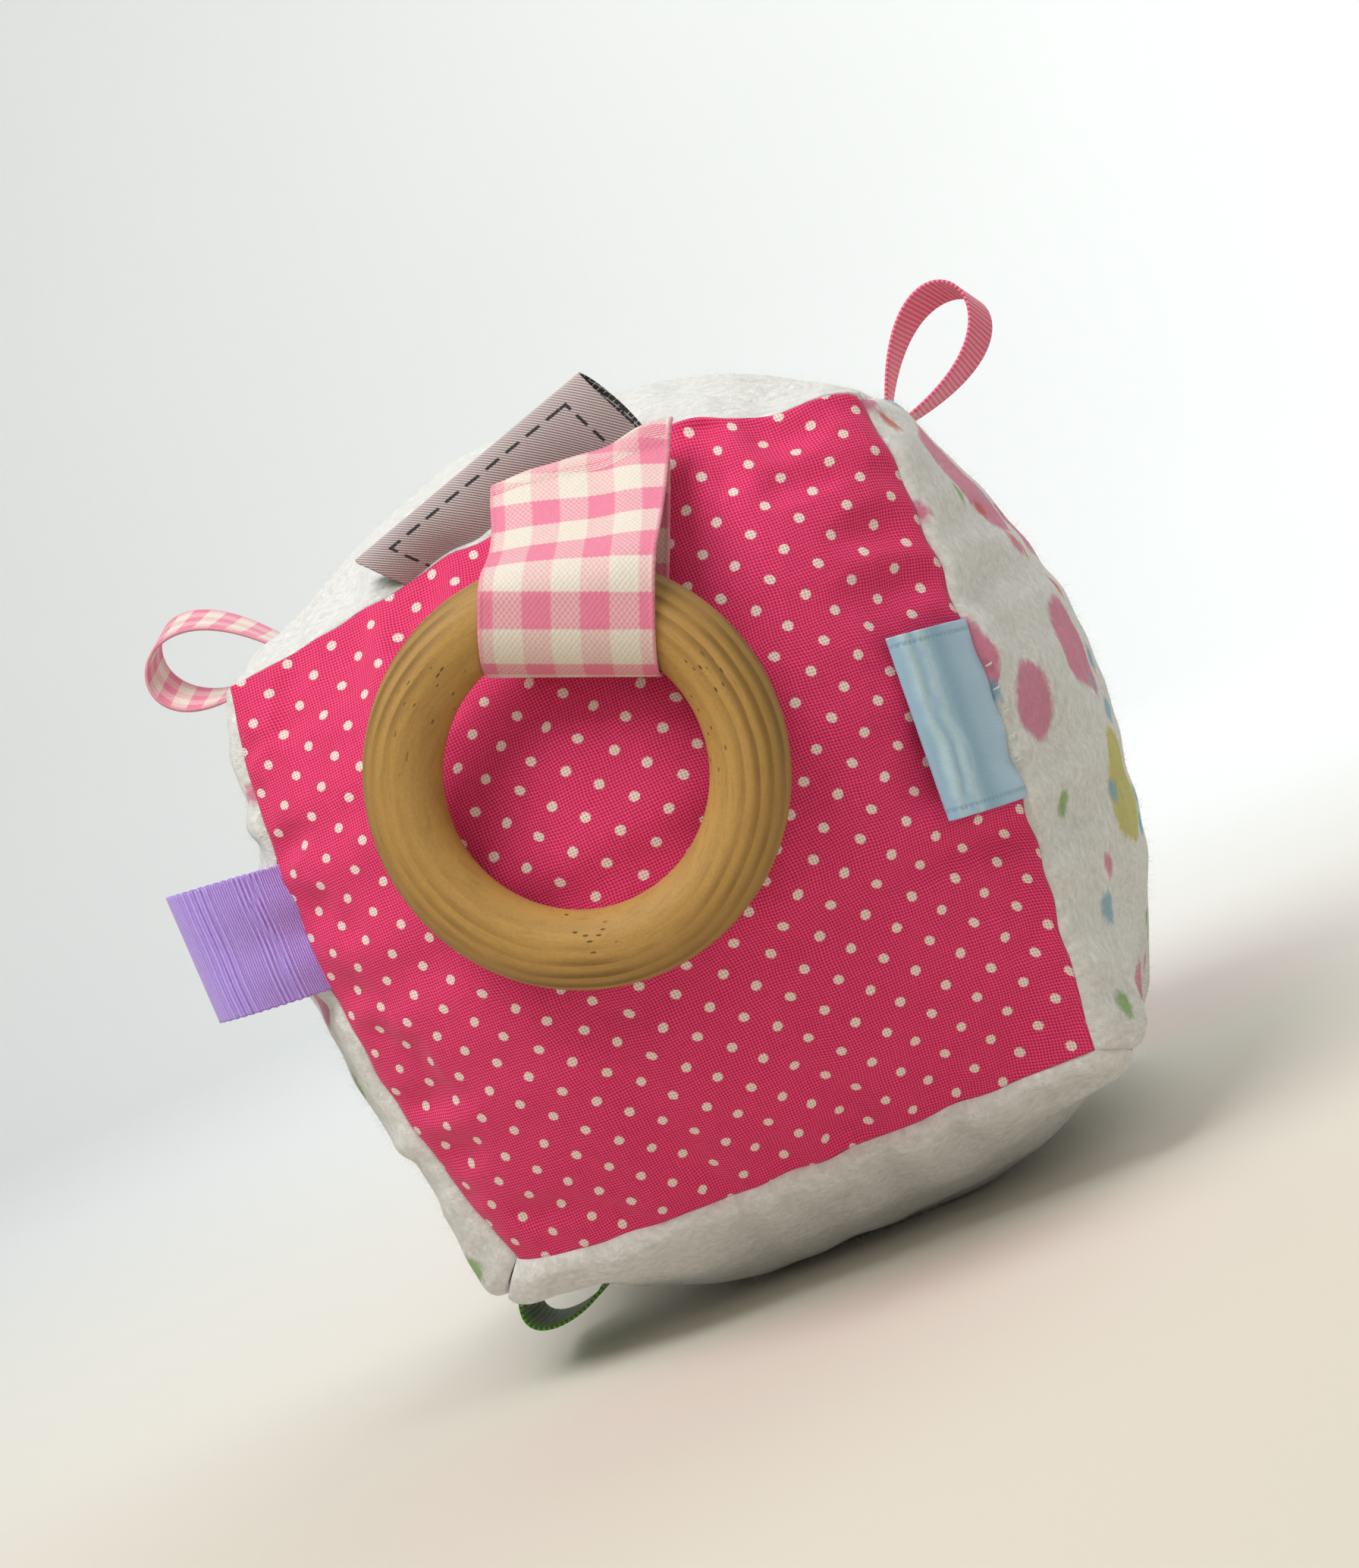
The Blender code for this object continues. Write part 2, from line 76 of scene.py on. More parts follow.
# Each panel's axis and the side of the block that it is on, how far it bulges, and the power of its bulge
PANELS = {
    "front": (1, -1), "back": (1, 1), "left": (0, -1), "right": (0, 1), "bottom": (2, -1), "top": (2, 1)}
CROWNS = {
    "front": 0.0153, "back": 0.0150, "left": 0.0124, "right": 0.0130, "bottom": 0.0135, "top": 0.0152}
CROWN_POWERS = {"front": 2.2, "back": 2.2, "left": 2.2, "right": 2.2, "bottom": 3.0, "top": 2.2}
# Where each corner lies, in shares of the block's half size
CORNER_SHARES = {
    (-1, -1, -1): (0.90, 0.95, 0.93),
    (-1, -1, 1): (1.02, 1.05, 0.955),
    (1, -1, -1): (0.92, 0.97, 0.96),
    (1, -1, 1): (1.00, 1.02, 1.01),
    (-1, 1, -1): (1.01, 1.00, 0.98),
    (-1, 1, 1): (1.01, 1.00, 1.03),
    (1, 1, -1): (1.03, 0.99, 1.01),
    (1, 1, 1): (1.00, 1.00, 1.015),
}
# How far each seam bows out, in shares of the half size, and where along it
SEAM_BOWS = {
    ("front", "top"): ((0, 0.12, 0.115), 0.73),
    ("front", "bottom"): ((0, 0.10, 0.03), 0.26),
    ("left", "front"): ((0.112, 0.09, 0), 0.50),
    ("right", "front"): ((0.058, 0.075, 0), 0.58),
    ("left", "top"): ((0.02, 0, 0.067), 0.50),
    ("right", "top"): ((0.01, 0, 0.031), 0.50),
    ("left", "bottom"): ((0.027, 0, 0.085), 0.50),
    ("right", "bottom"): ((0.037, 0, 0.090), 0.50),
    ("back", "top"): ((0, 0.02, 0.02), 0.50),
    ("back", "bottom"): ((0, 0.02, 0.02), 0.50),
    ("left", "back"): ((0.02, 0.02, 0), 0.50),
    ("right", "back"): ((0.02, 0.02, 0), 0.50),
}
# How far hand sewing wanders from its line, and the lengths of its waves in millimetres
SEAM_WANDER = 0.00022
WANDER_WAVES = (7, 26)

# The ring and the ribbons, as the part has them
RING_CORE_RADIUS = 0.02275
RING_SECTION_WIDTH = 0.0105
RING_THICKNESS = 0.0095
RIBBON_THICKNESS = 0.0005
ROOT_SPREAD = 0.0008
RING_RIBBON_WIDTH = 0.0228
RING_RIBBON_CLEARANCE = 0.00012
LABEL_LENGTH = 0.0385
LABEL_HEIGHT = 0.0076
# How much further out than its length a ribbon's fold stands
FOLD_EASE = 0.0010
# A length out from a ribbon's seam, along the ribbon
HINGE_LENGTH = 0.0030

# The camera that took the picture, its axes and its place
IMAGE_SIZE = (1792, 2067)
CAMERA_PLACE = (0.058736, -0.406783, 0.080842)
CAMERA_RIGHT = (0.9155, 0.1369, -0.3784)
CAMERA_FORWARD = (-0.1553, 0.9877, -0.0184)
CAMERA_LENS = 59.65


def srgb(red, green, blue):
    """Linear colour of a display colour given from 0 to 255."""
    shares = np.array((red, green, blue)) / 255
    return tuple(np.where(shares <= 0.04045, shares / 12.92, ((shares + 0.055) / 1.055) ** 2.4))


def unit(vector):
    """A vector's direction: the vector over its length."""
    return np.asarray(vector, dtype=float) / np.linalg.norm(vector)


def unevenness(seed, spots, shortest, longest, count=8):
    """Smooth seeded unevenness of spread 1: sines of count seeded headings and wavelengths, summed."""
    source = np.random.default_rng(seed)
    spots = np.asarray(spots, dtype=float)
    heading = source.normal(size=(spots.shape[-1], count))
    heading *= 2 * math.pi / source.uniform(shortest, longest, count) / np.linalg.norm(heading, axis=0)
    return np.sin(spots @ heading + source.uniform(0, 2 * math.pi, count)).sum(axis=-1) * math.sqrt(2 / count)


# The block's shape

def panel_on(axis, side):
    """Name of the panel that faces along an axis, on one side."""
    return next(name for name, facing in PANELS.items() if facing == (axis, side))


def seam_points(run_axis, sides, shares):
    """Points along the seam that runs along run_axis, at shares of its length.

    The straight line between its corners, plus a bow of (t/p)^(2p) * ((1-t)/(1-p))^(2-2p) with its peak at p,
    plus the wander of hand sewing, which is nothing at the corners.
    """
    shares = np.clip(np.asarray(shares, dtype=float), 0, 1)[..., None]
    ends = []
    for end in (-1, 1):
        corner = tuple(end if axis == run_axis else sides[axis] for axis in range(3))
        ends.append(HALF_SIZE * corner * CORNER_SHARES[corner])
    across = [axis for axis in range(3) if axis != run_axis]
    names = {panel_on(axis, sides[axis]) for axis in across}
    seed = next(place for place, pair in enumerate(SEAM_BOWS) if set(pair) == names)
    bow_shares, peak = list(SEAM_BOWS.values())[seed]
    outward = np.array([0 if axis == run_axis else sides[axis] for axis in range(3)])
    swell = (shares / peak) ** (2 * peak) * ((1 - shares) / (1 - peak)) ** (2 - 2 * peak)
    wander = np.zeros(shares.shape[:-1] + (3,))
    for order, axis in enumerate(across):
        uneven = unevenness(100 + 2 * seed + order, shares * SEAM_MILLIMETRES, *WANDER_WAVES)
        wander[..., axis] = SEAM_WANDER * uneven * (4 * shares * (1 - shares))[..., 0] ** 0.7
    return ends[0] * (1 - shares) + ends[1] * shares + swell * HALF_SIZE * bow_shares * outward + wander


def cover_points(name, u, v):
    """Points of a panel's cover, from the block's middle, for u and v from 0 to 1.

    The four seams are blended (a Coons patch), and the crown (1-|2u-1|^k)(1-|2v-1|^k) is added along the
    panel's own axis.
    """
    axis, side = PANELS[name]
    power = CROWN_POWERS[name]
    first, second = (other for other in range(3) if other != axis)

    def seam(run_axis, fixed_axis, end, shares):
        sides = [0, 0, 0]
        sides[axis] = side
        sides[fixed_axis] = end
        return seam_points(run_axis, sides, shares)

    u, v = np.asarray(u, dtype=float), np.asarray(v, dtype=float)
    s, t = u[..., None], v[..., None]
    points = (1 - t) * seam(first, second, -1, u) + t * seam(first, second, 1, u)
    points = points + (1 - s) * seam(second, first, -1, v) + s * seam(second, first, 1, v)
    for end, weight in ((-1, 1 - s), (1, s)):
        ends = seam(second, first, end, np.array((0.0, 1.0)))
        points = points - weight * ((1 - t) * ends[0] + t * ends[1])
    swell = CROWNS[name] * (1 - abs(2 * s - 1) ** power) * (1 - abs(2 * t - 1) ** power)
    points[..., axis] += side * swell[..., 0]
    return points


def run_lengths(points, axis):
    """Length in millimetres along a grid, from its first row or column."""
    steps = np.linalg.norm(np.diff(points, axis=axis), axis=-1)
    return np.concatenate((np.zeros_like(steps.take([0], axis)), np.cumsum(steps, axis=axis)), axis=axis) / MM


def grid_normals(points, turned=False):
    """Unit normals of a grid of points: the cross product of its two gradients."""
    normals = np.cross(np.gradient(points, axis=0), np.gradient(points, axis=1))
    if turned:
        normals = -normals
    return normals / np.maximum(np.linalg.norm(normals, axis=-1, keepdims=True), 1e-12)


def faces_outward(name):
    """Whether the panel's own u and v turn its grid outwards."""
    axis, side = PANELS[name]
    return (side > 0) != (axis == 1)


def seam_rise(reach, radius, roll, seams):
    """Rise of a stuffed cover beside its seams: roll (1 - e^(-d / radius)), fading over its reach.

    The distance d is the power mean of the distances to the four seams, of power -3, so that the roll goes
    round the corners.
    """
    nearest = np.sum([np.maximum(distance, 1e-3) ** -3 for distance in seams], axis=0) ** (-1 / 3)
    return roll * (1 - np.exp(-nearest / radius)) * (0.15 + 0.85 * np.exp(-(nearest / reach) ** 2))


def pucker_rise(seam_seeds, places, seams, depth):
    """Puckers that run in from the seams: seeded waves along each seam, times (d/3) e^(1 - d/3)."""
    rise = 0
    for seed, place, distance in zip(seam_seeds, places, seams):
        narrow = unevenness(seed, place[..., None], 5, 9)
        wide = unevenness(seed + 50, place[..., None], 9, 18)
        rise = rise + (0.6 * narrow + 0.5 * wide) * (distance / 3) * np.exp(1 - distance / 3)
    return depth * rise


def closed_body(cells, drawn_in=1.0):
    """The whole cover as one closed grid: its points, its faces, and where each panel's points are in it."""
    shares = np.linspace(0, 1, cells + 1)
    u, v = np.meshgrid(shares, shares, indexing="ij")
    spots, faces = [], []
    for order, name in enumerate(PANELS):
        side = cover_points(name, u, v)
        side[..., 2] = np.maximum(side[..., 2], -BLOCK_MIDDLE[2])
        spots.append(side.reshape(-1, 3) * drawn_in)
        faces.append(grid_faces(cells + 1, cells + 1, turned=not faces_outward(name)) + order * u.size)
    joined, back = np.unique(np.round(np.concatenate(spots), 7), axis=0, return_inverse=True)
    back = back.reshape(-1)
    return joined, back[np.concatenate(faces)], back.reshape(len(spots), cells + 1, cells + 1)


SWELL_CELLS = 24
SWELL_STEPS = 20


def swollen(settings):
    """How far the stuffing's pressure moves each panel's cloth: one grid of vectors for each panel.

    The closed cover is simulated as a cloth that is held at its seams, has some spare length and is blown up
    by an even pressure. The movement m is capped to c tanh(m / c).
    """
    spots, faces, places = closed_body(SWELL_CELLS)
    scene = bpy.context.scene
    first = scene.frame_current
    bag = add_piece("sewn_bag", spots * settings.slack_share + BLOCK_MIDDLE, faces, None)
    rims = np.concatenate((places[:, 0], places[:, -1], places[:, :, 0], places[:, :, -1]), axis=None)
    bag.vertex_groups.new(name="seams").add(np.unique(rims).tolist(), 1.0, "REPLACE")
    cloth = bag.modifiers.new("stuffing pressure", "CLOTH").settings
    cloth.vertex_group_mass = "seams"
    cloth.quality = 6
    cloth.mass = 0.0004
    cloth.use_pressure = True
    cloth.uniform_pressure_force = settings.pressure
    cloth.shrink_min = -settings.spare_share
    cloth.effector_weights.gravity = 0
    for step in range(SWELL_STEPS):
        scene.frame_set(step + 1)
    shape = bag.evaluated_get(bpy.context.evaluated_depsgraph_get()).to_mesh()
    moved = np.empty(len(spots) * 3, dtype=np.float32)
    shape.vertices.foreach_get("co", moved)
    mesh = bag.data
    bpy.data.objects.remove(bag, do_unlink=True)
    bpy.data.meshes.remove(mesh)
    scene.frame_set(first)
    movement = moved.reshape(-1, 3) - BLOCK_MIDDLE - spots * settings.slack_share
    length = np.linalg.norm(movement, axis=1, keepdims=True)
    movement *= np.tanh(length / settings.swell_cap) * settings.swell_cap / np.maximum(length, 1e-9)
    return {name: movement[places[order]] for order, name in enumerate(PANELS)}


def read_between(count, shares):
    """Weights that read count evenly spaced values at other shares of their row: a Catmull-Rom curve."""
    place = np.clip(shares, 0, 1) * (count - 1)
    left = np.clip(place.astype(int), 0, count - 2)
    t = place - left
    parts = (
        (2 * t ** 2 - t - t ** 3) / 2, (2 - 5 * t ** 2 + 3 * t ** 3) / 2,
        (t + 4 * t ** 2 - 3 * t ** 3) / 2, (t ** 3 - t ** 2) / 2)
    weights = np.zeros((len(shares), count))
    for step, part in zip(range(-1, 3), parts):
        np.add.at(weights, (np.arange(len(shares)), np.clip(left + step, 0, count - 1)), part)
    return weights


# Deep pinches where the seam is drawn in: panel, its u and v, depth and radius in millimetres
PINCHES = (
    ("front", 0.775, 0.985, 1.0, 3.6),
    ("top", 0.775, 0.01, 0.8, 3.2),
    ("front", 0.60, 0.015, 0.5, 3.0),
    ("bottom", 0.60, 0.01, 0.6, 3.2),
    ("bottom", 0.30, 0.01, 0.5, 3.0),
    ("right", 0.01, 0.30, 0.5, 3.4),
)

# How the front's cotton lies in its seams, each in millimetres along u and v at the end of the reach
PULL_REACH = 50
COTTON_SHIFT = (2.75, -14.92)
COTTON_STRETCH_ALONG_U = (-1.33, 2.29)
COTTON_STRETCH_ALONG_V = (2.73, 1.04)
COTTON_BOW_ALONG_U = (0.63, 0.03)
COTTON_SKEW = (-1.56, -1.12)
COTTON_BOW_ALONG_V = (1.78, 1.14)
COTTON_EDGE_ALONG_U = (-0.71, -0.95)
COTTON_FAN_ALONG_V = (0.42, 2.18)
COTTON_FAN_ALONG_U = (2.89, -0.39)
COTTON_EDGE_ALONG_V = (-2.32, -1.46)


def pulled(cloth):
    """The cotton's place before it was pulled in its seams: a cubic in its place x, y on the panel.

    It is shifted, stretched with x and y, skewed with x y, bowed with x^2 and y^2, fanned with x^2 y and
    x y^2, and held back at its edges with x^3 and y^3.
    """
    x, y = np.moveaxis(cloth / PULL_REACH, -1, 0)[..., None]
    pull = COTTON_SHIFT + x * COTTON_STRETCH_ALONG_U + y * COTTON_STRETCH_ALONG_V
    pull = pull + x * x * COTTON_BOW_ALONG_U + x * y * COTTON_SKEW + y * y * COTTON_BOW_ALONG_V
    pull = pull + x ** 3 * COTTON_EDGE_ALONG_U + y ** 3 * COTTON_EDGE_ALONG_V
    return cloth + pull + x * x * y * COTTON_FAN_ALONG_V + x * y * y * COTTON_FAN_ALONG_U


# Where the seam above the front is drawn up or down in the picture: its share, how far, and the radius, in mm
SEAM_DRAWS = ((0.745, 2.1, 8.0), (0.875, -2.3, 9.0), (0.60, -0.4, 8.0))
PICTURE_UP = unit((0.37, 0.08, 0.93))

# Where the flannel stands out beyond a corner: its panels, the corner, how far behind it, the way out and the
# radius, in mm
STAND_OUTS = (
    (("left", "bottom"), (-1, -1, -1), 8.0, (-4.4, 0, -4.4), 11.0),
    (("left",), (-1, -1, -0.45), 7.0, (-1.6, 0, -0.4), 14.0),
    (("bottom",), (-0.45, -1, -1), 6.0, (0, -1.8, -0.6), 16.0),
    (("bottom",), (0.25, -1, -1), 6.0, (0, -1.8, -0.2), 16.0),
    (("bottom",), (0.8, -1, -1), 6.0, (0, -1.2, 0), 12.0),
    (("right", "bottom"), (1, -1, -1), 8.0, (3.4, 0, -1.6), 10.0),
    (("top",), (0.3, -0.7, 1.15), 0.0, (0, 0, -1.8), 30.0),
)
# Where these corners lie, as a share of the block's own, and how far in its seam holds the flannel, in mm
CORNER_INSET = 0.95
SEAM_HOLD = 1.6


def drawn(points):
    """Points near the front's upper seam, moved with it: each draw fades as e^(-(d / radius)^2)."""
    moved = np.array(points, dtype=float)
    for share, rise, radius in SEAM_DRAWS:
        away = np.linalg.norm(points - seam_points(0, (0, -1, 1), share), axis=-1) / MM
        moved += (rise * MM * np.exp(-(away / radius) ** 2))[..., None] * PICTURE_UP
    return moved


def stood_out(name, points, from_front):
    """A flannel's points near its corners, moved by e^(-(d / radius)^2); nothing at the front's own seam."""
    moved = np.array(points, dtype=float)
    for panels, corner, behind, way, radius in STAND_OUTS:
        if name in panels:
            spot = HALF_SIZE * corner * CORNER_INSET + (0, behind * MM, 0)
            away = np.linalg.norm(points - spot, axis=-1) / MM
            share = np.exp(-(away / radius) ** 2) * (1 - np.exp(-from_front / SEAM_HOLD))
            moved += share[..., None] * np.array(way) * MM
    return moved


COVER_CELLS = 150
# How far in from its seams a cover's roll fades, and the radius of the roll, in mm
ROLL_REACH = 8
COTTON_ROLL_RADIUS = 1.1
FLANNEL_ROLL_RADIUS = 1.3
# The top is sewn flatter than the other flannels
TOP_ROLL_SHARE = 0.4


def dressed_cover(name, settings, swell):
    """A panel's cover as worn: its points and its cloth coordinates.

    The cover's surface, moved by its simulated swell, raised beside its seams, puckered along them and gently
    uneven all over, and no lower than the floor.
    """
    even = np.linspace(0, 1, COVER_CELLS + 1)
    shares = ((1 - np.cos(math.pi * even)) / 2 + even) / 2
    u, v = np.meshgrid(shares, shares, indexing="ij")
    points = cover_points(name, u, v)
    normals = grid_normals(points, turned=not faces_outward(name))
    along, across = run_lengths(points, 0), run_lengths(points, 1)
    seams = (along, along[-1] - along, across, across[:, -1:] - across)
    cotton = name in ("front", "back")
    if cotton:
        roll, radius, stiffness = settings.cotton_roll, COTTON_ROLL_RADIUS, 0.5
    else:
        roll, radius, stiffness = settings.flannel_roll, FLANNEL_ROLL_RADIUS, 1.0
    if name == "top":
        roll *= TOP_ROLL_SHARE
    seeds = [10 * list(PANELS).index(name) + side for side in range(4)]
    places = [SEAM_MILLIMETRES * share for share in (v, v, u, u)]
    rise = seam_rise(ROLL_REACH, radius, roll, seams)
    rise = rise + pucker_rise(seeds, places, seams, settings.pucker_depth * (0.8 if cotton else 1.0))
    half = COVER_CELLS // 2
    cloth = np.stack((along - along[half], across - across[:, half, None]), axis=-1)
    calm = np.prod([1 - np.exp(-distance / 9) for distance in seams], axis=0)
    softness = settings.softness * stiffness * calm
    rise = rise + softness * unevenness(seeds[0] + 7, cloth, 24, 60)
    rise = rise + 0.35 * softness * unevenness(seeds[0] + 8, cloth, 9, 20)
    weights = read_between(SWELL_CELLS + 1, shares)
    swelling = np.einsum("ia,abk,jb->ijk", weights, swell, weights)
    near = np.prod([1 - np.exp(-distance / 2.5) for distance in seams], axis=0)
    rise = rise + near * ((swelling * normals).sum(axis=-1) - 0.5 * settings.swell_cap)
    for panel, pinch_u, pinch_v, depth, radius in PINCHES:
        if panel == name:
            away = SEAM_MILLIMETRES * np.hypot(u - pinch_u, v - pinch_v)
            inside = np.clip(np.min(seams, axis=0) / 1.2, 0, 1)
            rise = rise - depth * MM * np.exp(-(away / radius) ** 2) * inside
    if name == "front":
        rise = np.minimum(rise, settings.front_room)
        cloth = pulled(cloth)
    points = drawn(points + rise[..., None] * normals)
    if not cotton:
        points = stood_out(name, points, seams[0] if name in ("left", "right") else seams[2])
    points = points + BLOCK_MIDDLE
    points[..., 2] = np.maximum(points[..., 2], 0)
    edge = np.min(seams, axis=0)
    return points, np.concatenate((cloth, edge[..., None]), axis=-1)


def nap_fibres(points, cloth, turned, settings, seed):
    """Fibres brushed up out of a cover, as three-sided hairs that taper, with faces and cloth values.

    Each starts at a seeded place on the grid and follows root + L (s d + s^2 b), with its heading d between
    the surface and its normal, and its bend b across it.
    """
    source = np.random.default_rng(seed)
    count = settings.fibre_count
    rows, columns = points.shape[:2]
    i, j = source.uniform(0.5, rows - 1.5, count), source.uniform(0.5, columns - 1.5, count)
    low_i, low_j = i.astype(int), j.astype(int)
    s, t = (i - low_i)[:, None], (j - low_j)[:, None]

    def there(grid):
        return ((1 - s) * (1 - t) * grid[low_i, low_j] + s * (1 - t) * grid[low_i + 1, low_j]
                + (1 - s) * t * grid[low_i, low_j + 1] + s * t * grid[low_i + 1, low_j + 1])

    normal = there(grid_normals(points, turned=turned))
    heading = source.normal(size=(count, 3)) + 0.9 * normal
    heading /= np.linalg.norm(heading, axis=1, keepdims=True)
    heading += np.maximum(0.12 - (heading * normal).sum(axis=1, keepdims=True), 0) * normal
    bend = 0.45 * source.normal(size=(count, 3))
    length = settings.fibre_length * source.uniform(0.35, 1.0, count)[:, None, None]
    run = np.array((0.0, 0.5, 1.0))[None, :, None]
    path = there(points)[:, None] + length * (run * heading[:, None] + run ** 2 * bend[:, None])
    path -= 0.15 * MM * normal[:, None] * (run == 0)
    path[..., 2] = np.maximum(path[..., 2], 0.05 * MM)
    aside = np.cross(heading, (0.36, 0.48, 0.8))
    aside /= np.linalg.norm(aside, axis=1, keepdims=True)
    over = np.cross(heading, aside)
    turn = np.arange(3) * 2 * math.pi / 3
    side = np.cos(turn)[None, :, None] * aside[:, None] + np.sin(turn)[None, :, None] * over[:, None]
    radius = settings.fibre_radius * np.array((1.0, 0.75, 0.25))[None, :, None, None]
    corners = (path[:, :, None] + radius * side[:, None]).reshape(-1, 3)
    walls = grid_faces(3, 3, close_columns=True, turned=True)
    caps = np.array(((0, 1, 2, -1), (8, 7, 6, -1)))
    one = np.concatenate((walls, caps))
    faces = np.where(one < 0, -1, one[None] + 9 * np.arange(count)[:, None, None]).reshape(-1, 4)
    return corners, faces, np.repeat(there(cloth), 9, axis=0)


# Meshes

def grid_faces(rows, columns, close_rows=False, close_columns=False, turned=False):
    """Corners of the faces of a grid of points, as indices; a closed way joins its last line to its first."""
    row_steps = np.arange(rows if close_rows else rows - 1)
    column_steps = np.arange(columns if close_columns else columns - 1)
    i, j = np.meshgrid(row_steps, column_steps, indexing="ij")
    steps = ((0, 0), (1, 0), (1, 1), (0, 1))
    corners = [((i + di) % rows) * columns + (j + dj) % columns for di, dj in steps]
    faces = np.stack(corners, axis=-1).reshape(-1, 4)
    return faces[:, ::-1] if turned else faces


def add_piece(name, points, faces, finish, cloth=None):
    """A mesh object of these points, shaded smooth, with its cloth attribute.

    Faces are rows of four corners; a triangle's last corner is -1.
    """
    corners = faces[faces >= 0].astype(np.int32)
    sizes = (faces >= 0).sum(axis=1)
    mesh = bpy.data.meshes.new(name)
    mesh.vertices.add(len(points))
    mesh.vertices.foreach_set("co", np.asarray(points, dtype=np.float32).ravel())
    mesh.loops.add(len(corners))
    mesh.loops.foreach_set("vertex_index", corners)
    mesh.polygons.add(len(faces))
    mesh.polygons.foreach_set("loop_start", (np.cumsum(sizes) - sizes).astype(np.int32))
    mesh.update(calc_edges=True)
    mesh.validate()
    if cloth is not None:
        attribute = mesh.attributes.new("cloth", "FLOAT_VECTOR", "POINT")
        attribute.data.foreach_set("vector", np.asarray(cloth, dtype=np.float32).ravel())
    mesh.shade_smooth()
    if finish:
        mesh.materials.append(finish)
    piece = bpy.data.objects.new(name, mesh)
    bpy.context.scene.collection.objects.link(piece)
    return piece


def shell_piece(name, outer, inner, cloth, finish, turned, fibres=None):
    """A closed shell of an outer and an inner grid, joined round their rims, with its fibres if any."""
    rows, columns = outer.shape[:2]
    total = rows * columns
    index = np.arange(total).reshape(rows, columns)
    rim = np.concatenate((index[:-1, 0], index[-1, :-1], index[:0:-1, -1], index[0, :0:-1]))
    ahead = np.roll(rim, -1)
    walls = np.stack((rim, rim + total, ahead + total, ahead), axis=-1)
    if turned:
        walls = walls[:, ::-1]
    outside = grid_faces(rows, columns, turned=turned)
    faces = [outside, outside[:, ::-1] + total, walls]
    points = [outer.reshape(-1, 3), inner.reshape(-1, 3)]
    cloths = [cloth.reshape(-1, 3)] * 2
    if fibres:
        corners, hairs, hair_cloth = fibres
        points.append(corners)
        faces.append(np.where(hairs < 0, -1, hairs + 2 * total))
        cloths.append(hair_cloth)
    return add_piece(name, np.concatenate(points), np.concatenate(faces), finish, np.concatenate(cloths))


def tube(path, radius, sides):
    """Points round a path: radius (cos a n + sin a b), with n and b square to it; ends drawn to a point."""
    along = np.gradient(path, axis=0)
    along /= np.linalg.norm(along, axis=1, keepdims=True)
    aside = np.cross(along, (0.577, 0.577, 0.577))
    aside /= np.linalg.norm(aside, axis=1, keepdims=True)
    over = np.cross(along, aside)
    turn = np.linspace(0, 2 * math.pi, sides, endpoint=False)
    radii = radius * np.clip(np.sin(math.pi * np.linspace(0, 1, len(path))), 0, 1) ** 0.3
    radii[[0, -1]] = 0.02 * radius
    ring = np.cos(turn)[None, :, None] * aside[:, None] + np.sin(turn)[None, :, None] * over[:, None]
    return path[:, None] + radii[:, None, None] * ring


# Ribbons

def seam_root(run_axis, sides, middle_share, width, shift):
    """A ribbon's sewn root: a function of the share of its width, which follows the seam, shifted."""
    ends = seam_points(run_axis, sides, (0.0, 1.0))
    width_share = width / np.linalg.norm(ends[1] - ends[0])

    def root(v):
        return seam_points(run_axis, sides, middle_share + (np.asarray(v) - 0.5) * width_share) + shift

    return root


def straight(start, end):
    """A function of a share, along the straight line between two points."""
    return lambda v: start + np.asarray(v)[..., None] * (end - start)


def drop_section(opening, camber=0.0):
    """Section of a loose ribbon, a function of u that runs out to its fold and back: reach and off_middle.

    With a = 2 pi u, reach = (1 - cos a) / 2 of the way from its root to its fold, and its two layers stand
    half its opening times sin a sin(a/2) sqrt(27) / 4 off its middle, which the camber bows.
    """
    def section(u):
        angle = 2 * math.pi * u
        reach = (1 - np.cos(angle)) / 2
        drop = np.sin(angle) * np.sin(angle / 2) * math.sqrt(27) / 4
        off_middle = opening / 2 * drop + ROOT_SPREAD / 2 * np.cos(angle / 2)
        return reach, off_middle + camber * np.sin(math.pi * reach)

    return section


def ribbon_sheet(root, fold, across, section, rows, columns):
    """A folded ribbon's middle layer, root(v) (1 - reach) + fold(v) reach + off_middle across, and its cloth.

    The cloth attribute is the length along the ribbon from its fold, the place across it, and the depth in
    from its nearest edge.
    """
    u, v = np.linspace(0, 1, rows), np.linspace(0, 1, columns)
    reach, off_middle = section(u)
    reach, off_middle = reach[:, None, None], off_middle[:, None, None]
    points = root(v)[None] * (1 - reach) + fold(v)[None] * reach + off_middle * across + BLOCK_MIDDLE
    run = run_lengths(points, 0)
    along = run - run[int(np.argmax(reach[:, 0, 0]))]
    side = run_lengths(points, 1)
    edge = np.minimum(side, side[:, -1:] - side)
    return points, np.stack((along, side, edge), axis=-1)


def ribbon_piece(name, points, cloth, finish):
    """A ribbon's mesh: its grid of points, which a Solidify modifier gives its thickness."""
    rows, columns = points.shape[:2]
    piece = add_piece(name, points.reshape(-1, 3), grid_faces(rows, columns), finish, cloth.reshape(-1, 3))
    solidify = piece.modifiers.new("cloth thickness", "SOLIDIFY")
    solidify.thickness = RIBBON_THICKNESS
    solidify.offset = 0
    return piece


